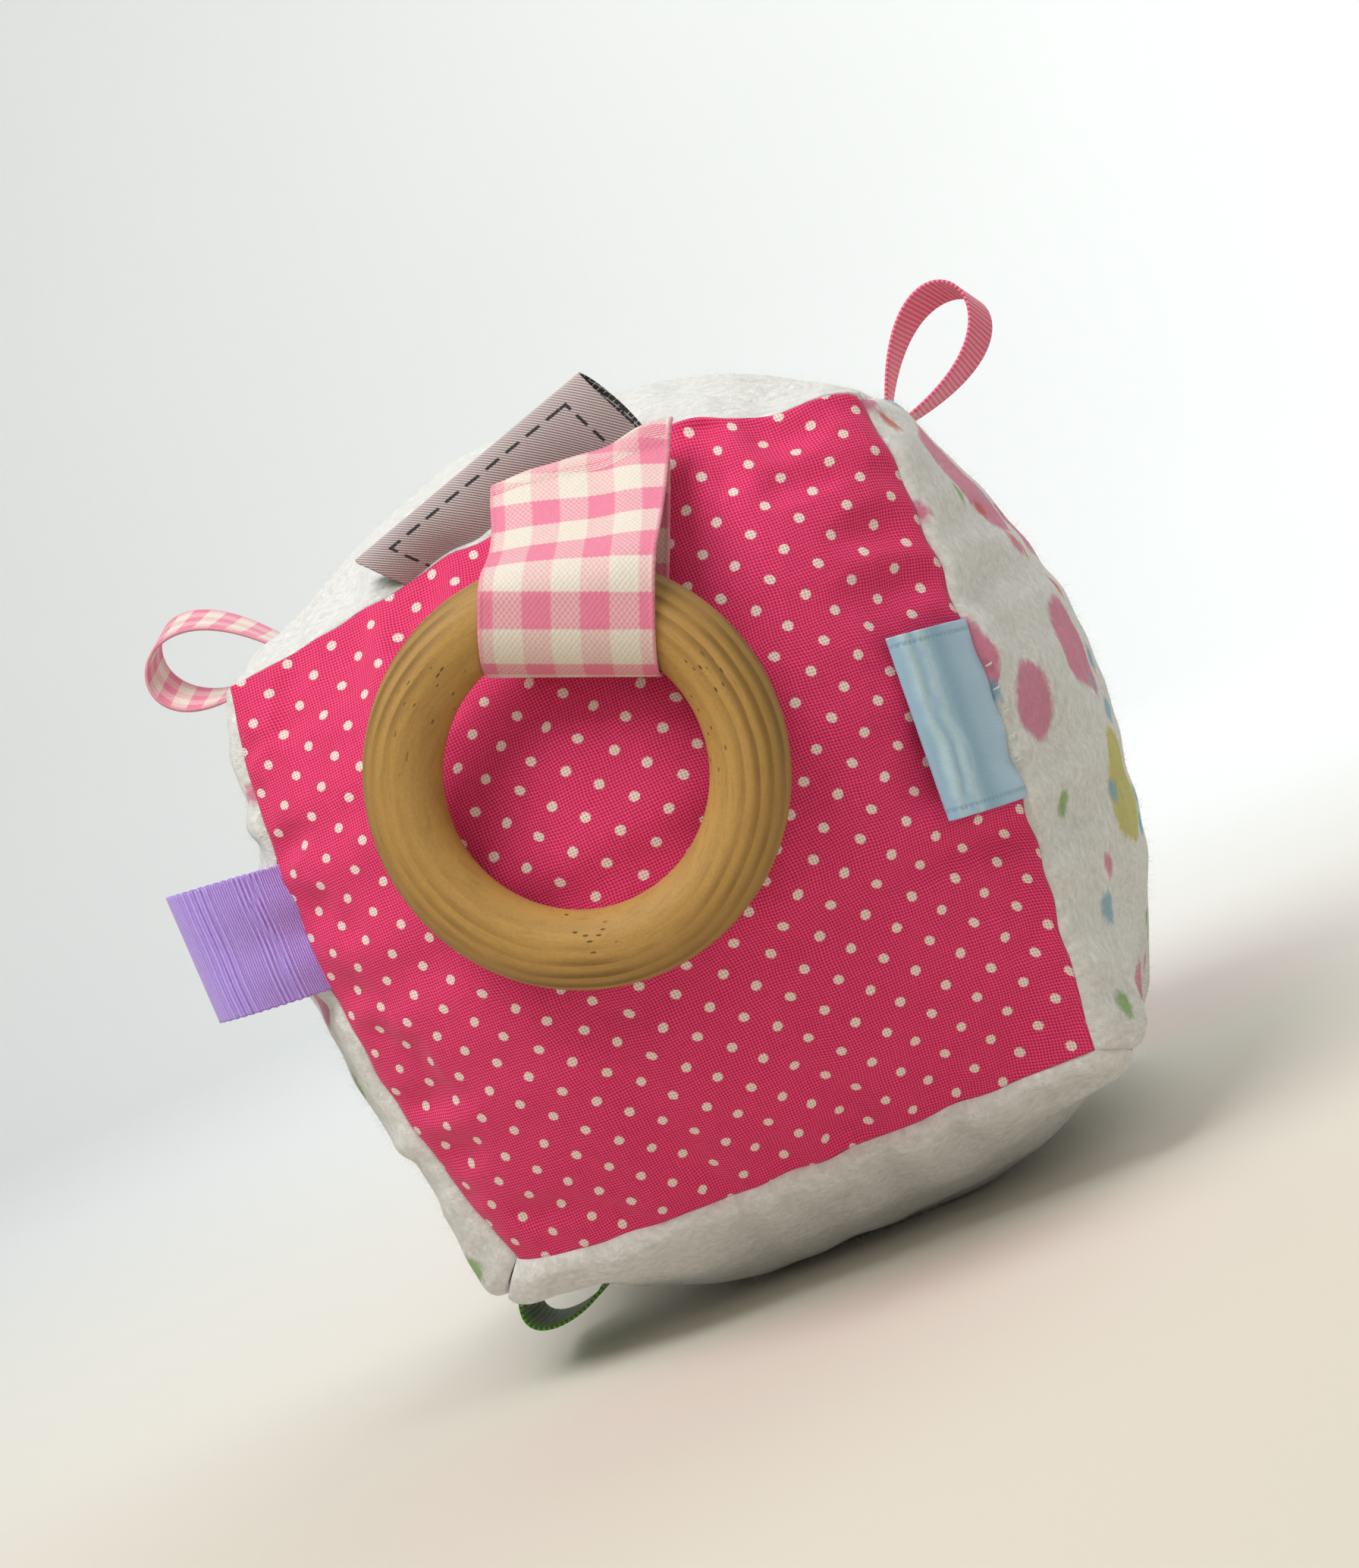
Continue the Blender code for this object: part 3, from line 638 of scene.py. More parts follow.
def loop_frame(seam, middle_share, sizes, out_shares, tuck, twist_degrees=0):
    """A loop's root, fold and across direction: it points along out_shares, with its fold twisted about that.

    sizes are its width and length, and tuck is how far its root stands out of the seam, or into it if
    negative.
    """
    run_axis, sides = seam
    width, length = sizes
    out = unit(out_shares)
    side_normal = unit([0 if axis == run_axis else sides[axis] for axis in range(3)])
    root = seam_root(run_axis, sides, middle_share, width, tuck * side_normal)
    ends = root(np.array((0.0, 1.0)))
    along = unit(ends[1] - ends[0])
    across = unit(np.cross(along, out))
    twist = math.radians(twist_degrees)
    half_fold = width / 2 * (math.cos(twist) * along + math.sin(twist) * across)
    fold_middle = ends.mean(axis=0) + (length - tuck + FOLD_EASE) * out
    return root, straight(fold_middle - half_fold, fold_middle + half_fold), across


def hang(piece, root, fold, node):
    """Bakes a ribbon's place into its mesh and hides the part that it stands for."""
    start = root(np.array((0.0, 1.0))).mean(axis=0) + BLOCK_MIDDLE
    out = unit(fold(np.array((0.0, 1.0))).mean(axis=0) + BLOCK_MIDDLE - start)
    Vector(start + HINGE_LENGTH * out)
    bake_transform(piece)
    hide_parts(node)


# Finishes

class Value:
    """A shader socket that takes part in sums: each sum adds its Math node."""

    def __init__(self, finish, socket):
        self.finish, self.socket = finish, socket

    def math(self, operation, *others):
        return self.finish.node("ShaderNodeMath", {"operation": operation}, dict(enumerate((self, *others))))

    def __add__(self, other):
        return self.math("ADD", other)

    def __sub__(self, other):
        return self.math("SUBTRACT", other)

    def __mul__(self, other):
        return self.math("MULTIPLY", other)

    def __truediv__(self, other):
        return self.math("DIVIDE", other)

    def __pow__(self, other):
        return self.math("POWER", other)

    def __rsub__(self, other):
        return self.finish.node("ShaderNodeMath", {"operation": "SUBTRACT"}, {0: other, 1: self})

    __radd__, __rmul__ = __add__, __mul__

    def sine(self):
        return self.math("SINE")

    def cosine(self):
        return self.math("COSINE")

    def size(self):
        return self.math("ABSOLUTE")

    def off_whole(self):
        """Distance from the nearest whole number, 0 to 0.5."""
        return self.math("PINGPONG", 0.5)

    def least(self, other):
        return self.math("MINIMUM", other)

    def most(self, other):
        return self.math("MAXIMUM", other)

    def step(self, low, high):
        """0 below low and 1 above high, smooth between; the other way round if low is above high."""
        return self.finish.node(
            "ShaderNodeMapRange", {"interpolation_type": "SMOOTHSTEP"}, {0: self, 1: low, 2: high})


class Finish:
    """A material as it is wired up. What varies over the surface is added as nodes, and the rest is set."""

    def __init__(self, name, **constants):
        self.material = bpy.data.materials.new(name)
        self.material.use_nodes = True
        self.tree = self.material.node_tree
        self.shader = self.tree.nodes["Principled BSDF"]
        for socket, value in constants.items():
            self.shader.inputs[socket.replace("_", " ").title().replace("Ior", "IOR")].default_value = value

    def node(self, kind, settings=None, inputs=None, output=0):
        """Adds a node: its settings are set first, and its inputs are then set or linked."""
        node = self.tree.nodes.new(kind)
        for key, value in (settings or {}).items():
            if key == "stops":
                self.set_stops(node.color_ramp, value)
            else:
                setattr(node, key, value)
        for key, value in (inputs or {}).items():
            self.feed(node.inputs[key], value)
        return Value(self, node.outputs[output])

    @staticmethod
    def set_stops(ramp, stops):
        while len(ramp.elements) < len(stops):
            ramp.elements.new(1)
        for element, (position, colour) in zip(ramp.elements, stops):
            element.position = position
            element.color = (*colour, 1)

    def feed(self, socket, value):
        if isinstance(value, Value):
            self.tree.links.new(value.socket, socket)
        elif socket.type == "RGBA" and len(value) == 3:
            socket.default_value = (*value, 1)
        else:
            socket.default_value = value

    def place(self):
        """Object coordinates."""
        return self.node("ShaderNodeTexCoord", output="Object")

    def cloth(self):
        """The cloth attribute: its vector, and its three parts in millimetres."""
        vector = self.node("ShaderNodeAttribute", {"attribute_name": "cloth"}, output="Vector")
        return vector, *self.parts(vector)

    def parts(self, vector):
        split = self.node("ShaderNodeSeparateXYZ", inputs={0: vector})
        return tuple(Value(self, split.socket.node.outputs[axis]) for axis in range(3))

    def joined(self, x, y, z=0.0):
        return self.node("ShaderNodeCombineXYZ", inputs={0: x, 1: y, 2: z})

    def noise(self, vector, scale, detail=2.0, roughness=0.5, colour=False):
        """Noise from 0 to 1, or a noise colour."""
        inputs = {"Vector": vector, "Scale": scale, "Detail": detail, "Roughness": roughness}
        return self.node("ShaderNodeTexNoise", inputs=inputs, output="Color" if colour else 0)

    def cells(self, vector, scale=1.0, dimensions="3D", randomness=1.0):
        """Seeded cells: the distance from each one's middle, and three numbers of its own from 0 to 1."""
        inputs = {"Vector": vector, "Scale": scale, "Randomness": randomness}
        away = self.node("ShaderNodeTexVoronoi", {"voronoi_dimensions": dimensions}, inputs)
        colour = Value(self, away.socket.node.outputs["Color"])
        split = self.node("ShaderNodeSeparateColor", inputs={0: colour})
        return away, *(Value(self, split.socket.node.outputs[part]) for part in range(3))

    def vector(self, operation, *inputs):
        """Vector Math on its inputs, in order."""
        return self.node("ShaderNodeVectorMath", {"operation": operation}, dict(enumerate(inputs)))

    def scaled(self, vector, share):
        return self.node("ShaderNodeVectorMath", {"operation": "SCALE"}, {0: vector, 3: share})

    def mix(self, share, first, second):
        """A colour between two colours."""
        return self.node("ShaderNodeMix", {"data_type": "RGBA"}, {0: share, 6: first, 7: second}, output=2)

    def show(self, colour, roughness=None, height=None, coat=None):
        """Wires the colour, roughness, coat and a height in millimetres to the shader."""
        self.feed(self.shader.inputs["Base Color"], colour)
        if roughness is not None:
            self.feed(self.shader.inputs["Roughness"], roughness)
        if coat is not None:
            self.feed(self.shader.inputs["Coat Weight"], coat)
        if height is not None:
            bump = self.node("ShaderNodeBump", inputs={"Strength": 1.0, "Distance": MM, "Height": height})
            self.feed(self.shader.inputs["Normal"], bump)
        return self.material


def staggered(x, y, pitch):
    """Floats that lie like bricks, -1 to 1: the product of two sines, whose threads lie pitch apart."""
    return (x * (math.pi / pitch)).sine() * (y * (math.pi / pitch)).sine()


def plain_weave(x, y, pitch):
    """Plain weave: its height and the holes between its threads, each 0 to 1.

    With a and b the distances to the nearest warp and weft thread, the warp's height is
    (1 - 4a^2)(0.6 + 0.4s) and the weft's (1 - 4b^2)(0.6 - 0.4s), where s = cos(pi x) cos(pi y) tells which of
    them lies on top.
    """
    warp_place, weft_place = x / pitch, y / pitch
    a, b = warp_place.off_whole(), weft_place.off_whole()
    over = (warp_place * math.pi).cosine() * (weft_place * math.pi).cosine() * 0.4
    warp = (1 - a * a * 4) * (over + 0.6)
    weft = (1 - b * b * 4) * (0.6 - over)
    return warp.most(weft), a.least(b).step(0.24, 0.44)


def dotted_cotton(settings, colours):
    """Hot pink plain weave with a turned square lattice of white pin dots."""
    finish = Finish(
        "dotted cotton", roughness=0.8, sheen_weight=0.12, sheen_roughness=0.4, specular_ior_level=0.2)
    cloth, x, y, _ = finish.cloth()
    pitch = settings.thread_pitch / MM
    bow = (finish.noise(cloth, 0.12, 2) - 0.5) * 0.9
    threads, holes = plain_weave(x + bow, y - bow, pitch)
    warp_slub = finish.noise(finish.joined(x * 0.25, y * 2.2), 1.0, 2)
    weft_slub = finish.noise(finish.joined(x * 2.2, y * 0.25), 1.0, 2)
    slub = (warp_slub + weft_slub) * 0.5 - 0.5
    turn, spacing = settings.dot_turn, settings.dot_spacing / MM
    p = (x * math.cos(turn) + y * math.sin(turn)) / spacing
    q = (y * math.cos(turn) - x * math.sin(turn)) / spacing
    away = (p.off_whole() ** 2 + q.off_whole() ** 2).math("SQRT") * spacing
    away = away + (finish.noise(cloth, 2.6, 2) - 0.5) * 0.34
    radius = settings.dot_diameter / 2 / MM
    dots = away.step(radius + 0.09, radius - 0.09)
    # Painted shade: the pink is darker low on its threads and darkest in the holes between them
    pink = finish.mix(threads.step(0.15, 0.95), colours.cotton_shade, colours.cotton)
    pink = finish.mix(holes * 0.8, pink, colours.cotton_hole_shade)
    pink = finish.scaled(pink, 1.0 + slub * 0.5 + (finish.noise(cloth, 0.07, 2) - 0.5) * 0.12)
    # Painted shade on the white dots too: darker low on the threads
    white = finish.scaled(colours.dots, 0.72 + threads * 0.28)
    colour = finish.mix(dots * (0.95 - holes * 0.75), pink, white)
    return finish.show(colour, height=threads * 0.07 + slub * 0.05 + dots * 0.01)


def brushed_flannel(name):
    """A new flannel finish."""
    return Finish(name, roughness=0.95, sheen_weight=0.3, sheen_roughness=0.6, specular_ior_level=0.1)


def napped(finish, cloth):
    """Brushed flannel's nap: matted fuzz with small pills, its height in millimetres and its fuzz, 0 to 1."""
    drift = finish.scaled(finish.noise(cloth, 0.5, 2, colour=True), 2.4)
    strands = finish.noise(finish.vector("ADD", cloth, drift), 2.6, 6, 0.72)
    pills = finish.noise(cloth, 0.75, 3, 0.6)
    return strands * 0.34 + pills * 0.34 + finish.noise(cloth, 0.22, 2) * 0.20, strands * 0.4 + pills * 0.6


def nap_painted_shade(finish, fuzz, colour):
    """Brushed cloth's colour with painted shade: lighter on the tips of its nap and greyer between them."""
    return finish.scaled(colour, 0.82 + fuzz.step(0.36, 0.64) * 0.18)


def plain_flannel(colours):
    """Warm white brushed flannel."""
    finish = brushed_flannel("plain flannel")
    height, fuzz = napped(finish, finish.cloth()[0])
    # The nap's painted shade: greyer between the tips of its nap
    return finish.show(nap_painted_shade(finish, fuzz, colours.flannel), height=height)


def printed_flannel(colours):
    """Brushed flannel printed with soft-edged blots and dots: one in each seeded cell, of its own size."""
    finish = brushed_flannel("printed flannel")
    cloth, x, y, _ = finish.cloth()
    height, fuzz = napped(finish, cloth)
    ink_reach = (fuzz - 0.5) * 2.4
    flat = finish.joined(x, y)
    colour = tuple(colours.flannel)
    blot_inks = (
        (0.0, colours.print_pink), (0.45, colours.print_lime), (0.72, colours.print_sky),
        (0.88, colours.print_pink))
    dot_inks = (
        (0.0, colours.print_coral), (0.34, colours.print_sky), (0.56, colours.print_green),
        (0.74, colours.print_pink), (0.88, colours.print_coral))
    # Wide blots in few cells and small dots in many: the cells' size, how far their outlines wander, how they
    # are scattered, the least and the greatest radius, how many stay empty, and the inks
    layers = (
        (24.0, 3.0, 0.55, (5.0, 11.0), 0.22, blot_inks),
        (9.5, 0.8, 0.8, (1.2, 2.3), 0.42, dot_inks),
    )
    for spacing, wobble, scatter, (least, most), rarity, stops in layers:
        drift = finish.vector("SUBTRACT", finish.noise(flat, 2.2 / spacing, 2, colour=True), (0.5, 0.5, 0.5))
        spots = finish.vector("MULTIPLY_ADD", drift, (wobble, wobble, 0), flat)
        away, hue, width, chance = finish.cells(spots, 1 / spacing, "2D", scatter)
        ink = finish.node("ShaderNodeValToRGB", {"stops": stops}, {0: hue})
        ink.socket.node.color_ramp.interpolation = "CONSTANT"
        size = (width * (most - least) + least) * chance.step(rarity, rarity + 0.01)
        blot = (away * spacing + ink_reach - size).step(0.8, -0.7) * size.step(0.2, 0.4)
        colour = finish.mix(blot * (0.72 + fuzz * 0.3), colour, ink)
    # The nap's painted shade: greyer between the tips of its nap
    return finish.show(nap_painted_shade(finish, fuzz, colour), height=height)


def stuffing_fibre():
    """White fibre, matted."""
    finish = Finish("polyester stuffing", roughness=0.9, sheen_weight=0.2)
    place = finish.scaled(finish.place(), 1 / MM)
    fibre = finish.noise(place, 0.8, 6, 0.75)
    return finish.show(finish.scaled(srgb(236, 236, 234), 0.8 + fibre * 0.3), height=fibre * 0.8)


def turned_wood(settings, middle):
    """Turned wood: growth bands bent round the ring, strong on its outer half, fine grain and dark pits."""
    finish = Finish("turned wood", roughness=0.5, specular_ior_level=0.35)
    place = finish.vector("SUBTRACT", finish.scaled(finish.place(), 1 / MM), tuple(middle / MM))
    x, y, z = finish.parts(place)
    reach = (x ** 2 + z ** 2).math("SQRT")
    warp = (finish.noise(place, 0.035, 1) - 0.5) * 3.0 + (finish.noise(place, 0.16, 1) - 0.5) * 0.35
    depth = ((x + 1.2) ** 2 + (z + 0.8) ** 2).math("SQRT") + y * 0.35 + warp
    band = (depth / (settings.growth_spacing / MM)).math("FRACT")
    outer = reach.step(20.5, 24.5)
    late = band.step(0.20, 0.72) * band.step(1.0, 0.84)
    late = late * (outer * 0.75 + 0.25) * finish.noise(place, 0.055, 2).step(0.32, 0.62)
    angle = z.math("ARCTAN2", x)
    fine = finish.noise(finish.joined(depth * 2.6, angle * 5.0, y * 0.6), 1.0, 4, 0.6)
    colour = finish.mix(late * 0.75, settings.wood_light, settings.wood_dark)
    colour = finish.mix(fine.step(0.45, 0.85) * 0.35, colour, settings.wood_dark)
    colour = finish.mix(outer * reach.step(24.0, 28.0) * 0.35, colour, settings.wood_edge)
    speckle = finish.noise(place, 2.4, 3, 0.7)
    colour = finish.scaled(colour, 0.66 + finish.noise(place, 0.045, 2) * 0.32 + speckle * 0.36)
    away, chance, *_ = finish.cells(finish.joined(reach * 1.5, angle * 11.0, y * 0.7))
    pit = (away + (fine - 0.5) * 0.15).step(0.24, 0.12) * chance.step(0.55, 0.6)
    pit = pit * finish.noise(place, 0.075, 1).step(0.5, 0.6) * reach.step(25.5, 23.0)
    colour = finish.mix(pit * 0.8, colour, settings.wood_pit)
    roughness = 0.56 + fine * 0.14 + pit * 0.2
    return finish.show(colour, roughness=roughness, height=fine * 0.014 + speckle * 0.05 - pit * 0.12)


def gingham(name, column_width, edge_width, row, start, colours):
    """Checked ribbon of pink and white yarn, whose floats lie like bricks where the two cross.

    Its outermost columns are pink, edge_width wide. row is the length of a row and start the length of pink
    before its fold. All are in millimetres.
    """
    finish = Finish(name, roughness=0.55, sheen_weight=0.2, specular_ior_level=0.35)
    cloth, along, across, edge = finish.cloth()
    wander = (finish.noise(cloth, 0.5, 2) - 0.5) * 0.14
    column = ((across + wander - edge_width) * (math.pi / column_width)).sine().step(0.15, -0.15)
    line = ((along.size() + start + wander) * (math.pi / row)).sine().step(-0.10, 0.10)
    floats = staggered(across, along * 0.8, 0.36)
    share = column * 0.36 + line * 0.64
    mixed = 1 - (share * 2 - 1).size()
    pinkness = share + (floats.step(-0.5, 0.6) - 0.5) * (mixed * 0.55 + 0.10)
    pinkness = pinkness.most(edge.step(0.55, 0.35) * 0.72)
    colour = finish.mix(pinkness, colours.gingham_white, colours.gingham_pink)
    yarn = finish.noise(finish.joined(across * 3.0, along * 0.5), 1.0, 2) - 0.5
    # Painted shade on the floats: lighter where they rise and darker where they sink; the yarn's tone varies at
    # random
    colour = finish.scaled(colour, 0.92 + floats * 0.08 + yarn * 0.14)
    return finish.show(colour, height=floats * 0.022 + yarn * 0.03 + edge.step(0.75, 0.35) * 0.07)


def label_twill(colours):
    """Mauve grey woven twill with its dashed border, and no words or picture on it."""
    finish = Finish("label twill", roughness=0.7, sheen_weight=0.2, specular_ior_level=0.3)
    cloth, along, across, edge = finish.cloth()
    depth = along.size()
    ribs = ((across * 0.871 - depth * 0.492) * (2 * math.pi / 0.42)).sine()
    twist = ((across * 0.492 + depth * 0.871) * (2 * math.pi / 0.36) + ribs).sine()
    from_end, from_fold = edge - 4.3, depth - 3.0
    nearest = from_end.least(from_fold) + (finish.noise(cloth, 3.0, 2) - 0.5) * 0.12
    line = nearest.size().step(0.27, 0.19)
    by_end, by_fold = from_end.step(1.15, 0.95), from_fold.step(1.15, 0.95)
    dashes = ((across - LABEL_LENGTH / MM / 2) / 3.6).off_whole().step(0.36, 0.31)
    uprights = (from_fold / 3.1).off_whole().step(0.36, 0.31)
    border = line * (by_end * by_fold).most((1 - by_end) * dashes).most((1 - by_fold) * uprights)
    # Painted shade: the label's shade colour lies between its ribs
    cloth_colour = finish.mix((ribs + twist * 0.35).step(-1.0, 0.9), colours.label_shade, colours.label)
    cloth_colour = finish.mix(depth.step(1.0, 0.1) * 0.5, cloth_colour, colours.label_fold)
    colour = finish.mix(border * (0.94 + twist * 0.06), cloth_colour, colours.label_ink)
    return finish.show(colour, height=ribs * 0.04 + twist * 0.012 - border * 0.02)


def label_back(colours):
    """The label's inner side: black, with a grid of fine white threads."""
    finish = Finish("label back", roughness=0.7, sheen_weight=0.2)
    cloth, along, across, _ = finish.cloth()
    grid = (along / 0.9).off_whole().step(0.10, 0.05).most((across / 0.8).off_whole().step(0.11, 0.06))
    ribs = staggered(along, across, 0.35)
    broken = finish.noise(cloth, 1.1, 2).step(0.40, 0.5)
    colour = finish.mix(grid * broken * 0.7, colours.label_ink, colours.label_fold)
    return finish.show(colour, height=ribs * 0.03 + grid * 0.04)


def grosgrain(name, colour, shade, pitch, relief=0.05):
    """Ribbed ribbon: cross ribs of a given pitch, wound with fine threads."""
    finish = Finish(name, roughness=0.55, sheen_weight=0.25, sheen_roughness=0.4, specular_ior_level=0.4)
    cloth, along, across, _ = finish.cloth()
    drift = finish.noise(finish.joined(along * 0.9, across * 0.2), 1.0, 2)
    ribs = (along * (2 * math.pi / pitch) + drift * 1.2).sine()
    threads = (across * (2 * math.pi / 0.24) + ribs).sine()
    # Painted shade: the shade colour lies low between the ribs and between the threads
    blend = (ribs * 0.55 + threads * 0.22).step(-0.85, 0.6)
    base = finish.scaled(finish.mix(blend, shade, colour), 0.95 + (finish.noise(cloth, 1.3, 3) - 0.5) * 0.22)
    return finish.show(base, height=ribs * relief + threads * 0.014)


def blue_satin(colours):
    """Satin: smooth in the middle, grainy floats on two ridges with a painted highlight, a stitched hem at its
    ends.
    """
    finish = Finish("blue satin", roughness=0.35, sheen_weight=0.15, specular_ior_level=0.5)
    _, along, across, edge = finish.cloth()
    depth = along.size()
    sway = (finish.noise(across, 0.16, 2) - 0.5) * 2.2
    first = (depth - 1.9 + sway * 0.8).size().step(1.3, 0.1)
    second = (depth - 4.3 + sway).size().step(1.2, 0.1)
    ridge = first.most(second * 0.85)
    grain = finish.noise(finish.joined(along * 3.2, across * 3.2), 1.0, 3, 0.7)
    threads = (across * (2 * math.pi / 0.26)).sine()
    hem = (edge - 1.3).size().step(0.45, 0.1)
    ticks = (depth / 0.8).off_whole().step(0.3, 0.15)
    # Painted highlight: the grainy floats on the two ridges are lighter
    colour = finish.mix(ridge * (0.15 + grain * 0.9), colours.blue, colours.blue_ridge_highlight)
    # Painted shade: a darker band from about 6 to 9 mm from the fold
    colour = finish.mix(depth.step(5.6, 6.6) * depth.step(9.5, 7.0) * 0.35, colour, colours.blue_shade_and_hem)
    # The stitched hem: a dark seam line with its stitches, in the same colour as the painted shade
    colour = finish.mix(hem * (0.25 + ticks * 0.3), colour, colours.blue_shade_and_hem)
    roughness = 0.30 + ridge * grain * 0.3 + hem * 0.2
    height = threads * 0.006 + ridge * grain * 0.05 - hem * 0.06 + hem * ticks * 0.05
    return finish.show(colour, roughness=roughness, height=height)


def thread_finish():
    """Twisted white sewing thread."""
    finish = Finish("white thread", roughness=0.6, sheen_weight=0.2)
    x, _, z = finish.parts(finish.scaled(finish.place(), 1 / MM))
    ply = ((x + z * 1.4) * (2 * math.pi / 0.4)).sine()
    # Painted shade in the grooves of the ply
    return finish.show(finish.scaled(srgb(240, 240, 236), 0.92 + ply * 0.06), height=ply * 0.03)


def floor_finish(near, far):
    """Matt paper with a faint tooth and painted light: paler behind the block than in front of it."""
    finish = Finish("pale floor", roughness=0.9)
    place = finish.scaled(finish.place(), 1 / MM)
    tooth = finish.noise(place, 0.35, 3)
    # Painted light: darker in front of the block, paler behind it
    colour = finish.mix(finish.parts(place)[1].step(-250, 500), near, far)
    colour = finish.scaled(colour, 0.99 + (finish.noise(place, 0.004, 2) - 0.5) * 0.03)
    return finish.show(colour, height=tooth * 0.02)


# Settings

def length_setting(name, description, millimetres):
    """A length, given in millimetres and kept in metres."""
    return bpy.props.FloatProperty(
        name=name, description=description, default=millimetres * MM, unit="LENGTH", precision=6, min=0)


def number_setting(name, description, default):
    """A plain number or a share, never below nothing."""
    return bpy.props.FloatProperty(name=name, description=description, default=default, min=0)


class CoverSettings(bpy.types.PropertyGroup):
    """Sizes of the sewn covers."""
    flannel_roll: length_setting("Flannel roll", "How far the flannel rises beside its seams", 2.3)
    cotton_roll: length_setting("Cotton roll", "How far the cotton rises beside its seams", 0.15)
    pucker_depth: length_setting("Pucker depth", "Depth of the puckers along the seams", 0.24)
    softness: length_setting("Softness", "Depth of the soft hollows all over the covers", 0.24)
    front_room: length_setting("Room in front", "How far the front may rise under the ribbon and ring", 0.20)
    swell_cap: length_setting("Swell cap", "How far the stuffing's pressure may move the covers", 1.2)
    pressure: number_setting("Pressure", "The stuffing's pressure in the simulation", 4.0)
    spare_share: number_setting("Spare cloth", "How much longer the cloth is than the body it covers", 0.03)
    slack_share: number_setting("Slack", "Size at which the simulation starts, as a share of the body", 0.99)
    thread_pitch: length_setting("Thread pitch", "Distance between the cotton's threads", 0.44)
    dot_spacing: length_setting("Dot spacing", "Distance between the pin dots", 4.8)
    dot_diameter: length_setting("Dot diameter", "Diameter of a pin dot", 1.42)
    dot_turn: bpy.props.FloatProperty(
        name="Dot turn", description="Turn of the pin dots' lattice", default=math.radians(45),
        subtype="ANGLE")
    fibre_count: bpy.props.IntProperty(
        name="Nap fibres", description="Number of loose fibres on each flannel cover", default=4500, min=0)
    fibre_length: length_setting("Fibre length", "Longest loose fibre of the nap", 1.5)
    fibre_radius: length_setting("Fibre radius", "Radius of a loose fibre at its root", 0.016)


def colour_setting(name, description, red, green, blue):
    """A colour, given as a display colour from 0 to 255."""
    return bpy.props.FloatVectorProperty(
        name=name, description=description, default=srgb(red, green, blue), subtype="COLOR", size=3, min=0,
        max=1)


class RingSettings(bpy.types.PropertyGroup):
    """Sizes and colours of the wooden ring."""
    growth_spacing: length_setting("Growth spacing", "Distance between growth bands", 2.0)
    wood_light: colour_setting("Wood", "Colour of the wood between its growth bands", 178, 138, 74)
    wood_dark: colour_setting("Growth bands", "Colour of the growth bands", 112, 80, 32)
    wood_edge: colour_setting("Edge", "Colour of the ring's outer edge", 108, 84, 36)
    wood_pit: colour_setting("Pits", "Colour of the small pits", 80, 50, 20)


class ClothColours(bpy.types.PropertyGroup):
    """Colours of the cloths and ribbons."""
    cotton: colour_setting("Cotton", "Colour of the dotted cotton", 242, 78, 130)
    # Painted shade of the cotton: its colour low on the threads and in the holes between them
    cotton_shade: colour_setting("Cotton shade", "Colour low on the cotton's threads", 198, 26, 80)
    cotton_hole_shade: colour_setting("Cotton holes", "Colour between the cotton's threads", 120, 2, 34)
    dots: colour_setting("Dots", "Colour of the pin dots", 252, 232, 222)
    flannel: colour_setting("Flannel", "Colour of the flannel", 251, 251, 247)
    print_pink: colour_setting("Print pink", "Colour of the print's pink blots", 236, 120, 162)
    print_coral: colour_setting("Print coral", "Colour of the print's coral dots", 232, 84, 52)
    print_lime: colour_setting("Print lime", "Colour of the print's lime blots", 216, 208, 78)
    print_sky: colour_setting("Print sky", "Colour of the print's light blue dots", 142, 196, 220)
    print_green: colour_setting("Print green", "Colour of the print's green dots", 140, 188, 96)
    gingham_pink: colour_setting("Gingham pink", "Colour of the gingham's pink yarn", 228, 122, 152)
    gingham_white: colour_setting("Gingham white", "Colour of the gingham's white yarn", 228, 219, 205)
    label: colour_setting("Label", "Colour of the label's ribs", 204, 190, 188)
    # Painted shade between the label's ribs
    label_shade: colour_setting("Label shade", "Colour between the label's ribs", 142, 124, 126)
    label_fold: colour_setting("Label fold", "Colour of the label's worn fold", 206, 198, 188)
    label_ink: colour_setting("Label ink", "Colour of the label's border and inner side", 26, 22, 30)
    purple: colour_setting("Purple", "Colour of the purple tab", 204, 176, 255)
    # Painted shade between the purple tab's ribs
    purple_shade: colour_setting("Purple shade", "Colour between the purple tab's ribs", 166, 128, 232)
    blue: colour_setting("Blue", "Colour of the blue tab", 154, 188, 212)
    # The ridges' colour is a painted highlight; the shade colour is painted shade and also the dark hem line
    blue_ridge_highlight: colour_setting("Blue light", "Colour of the blue tab's ridges", 198, 224, 232)
    blue_shade_and_hem: colour_setting("Blue shade", "Shaded colour of the blue tab", 112, 152, 178)
    pink: colour_setting("Pink", "Colour of the pink loop", 255, 134, 162)
    # Painted shade between the pink loop's ribs
    pink_shade: colour_setting("Pink shade", "Colour between the pink loop's ribs", 208, 72, 106)
    green: colour_setting("Green", "Colour of the green loop", 92, 150, 30)
    # Painted shade between the green loop's ribs
    green_shade: colour_setting("Green shade", "Colour between the green loop's ribs", 36, 84, 8)


def power_setting(name, description, watts):
    """A light's power in watts."""
    return bpy.props.FloatProperty(name=name, description=description, default=watts, unit="POWER", min=0)


class StageSettings(bpy.types.PropertyGroup):
    """The floor and the lights."""
    # Painted light on the floor: darker in front of the block, paler behind it
    floor_near_shade: colour_setting("Floor in front", "Colour of the floor before the block", 213, 206, 190)
    floor_far_lit: colour_setting("Floor behind", "Colour of the floor and sweep behind it", 242, 245, 245)
    key_power: power_setting("Key light", "Power of the soft light from above on the left", 3.0)
    fill_power: power_setting("Fill light", "Power of the soft light beside the camera", 0.75)
    back_power: power_setting("Back light", "Power of the light on the sweep behind the block", 10.0)
    sky_strength: number_setting("Sky", "Strength of the white surroundings", 0.43)


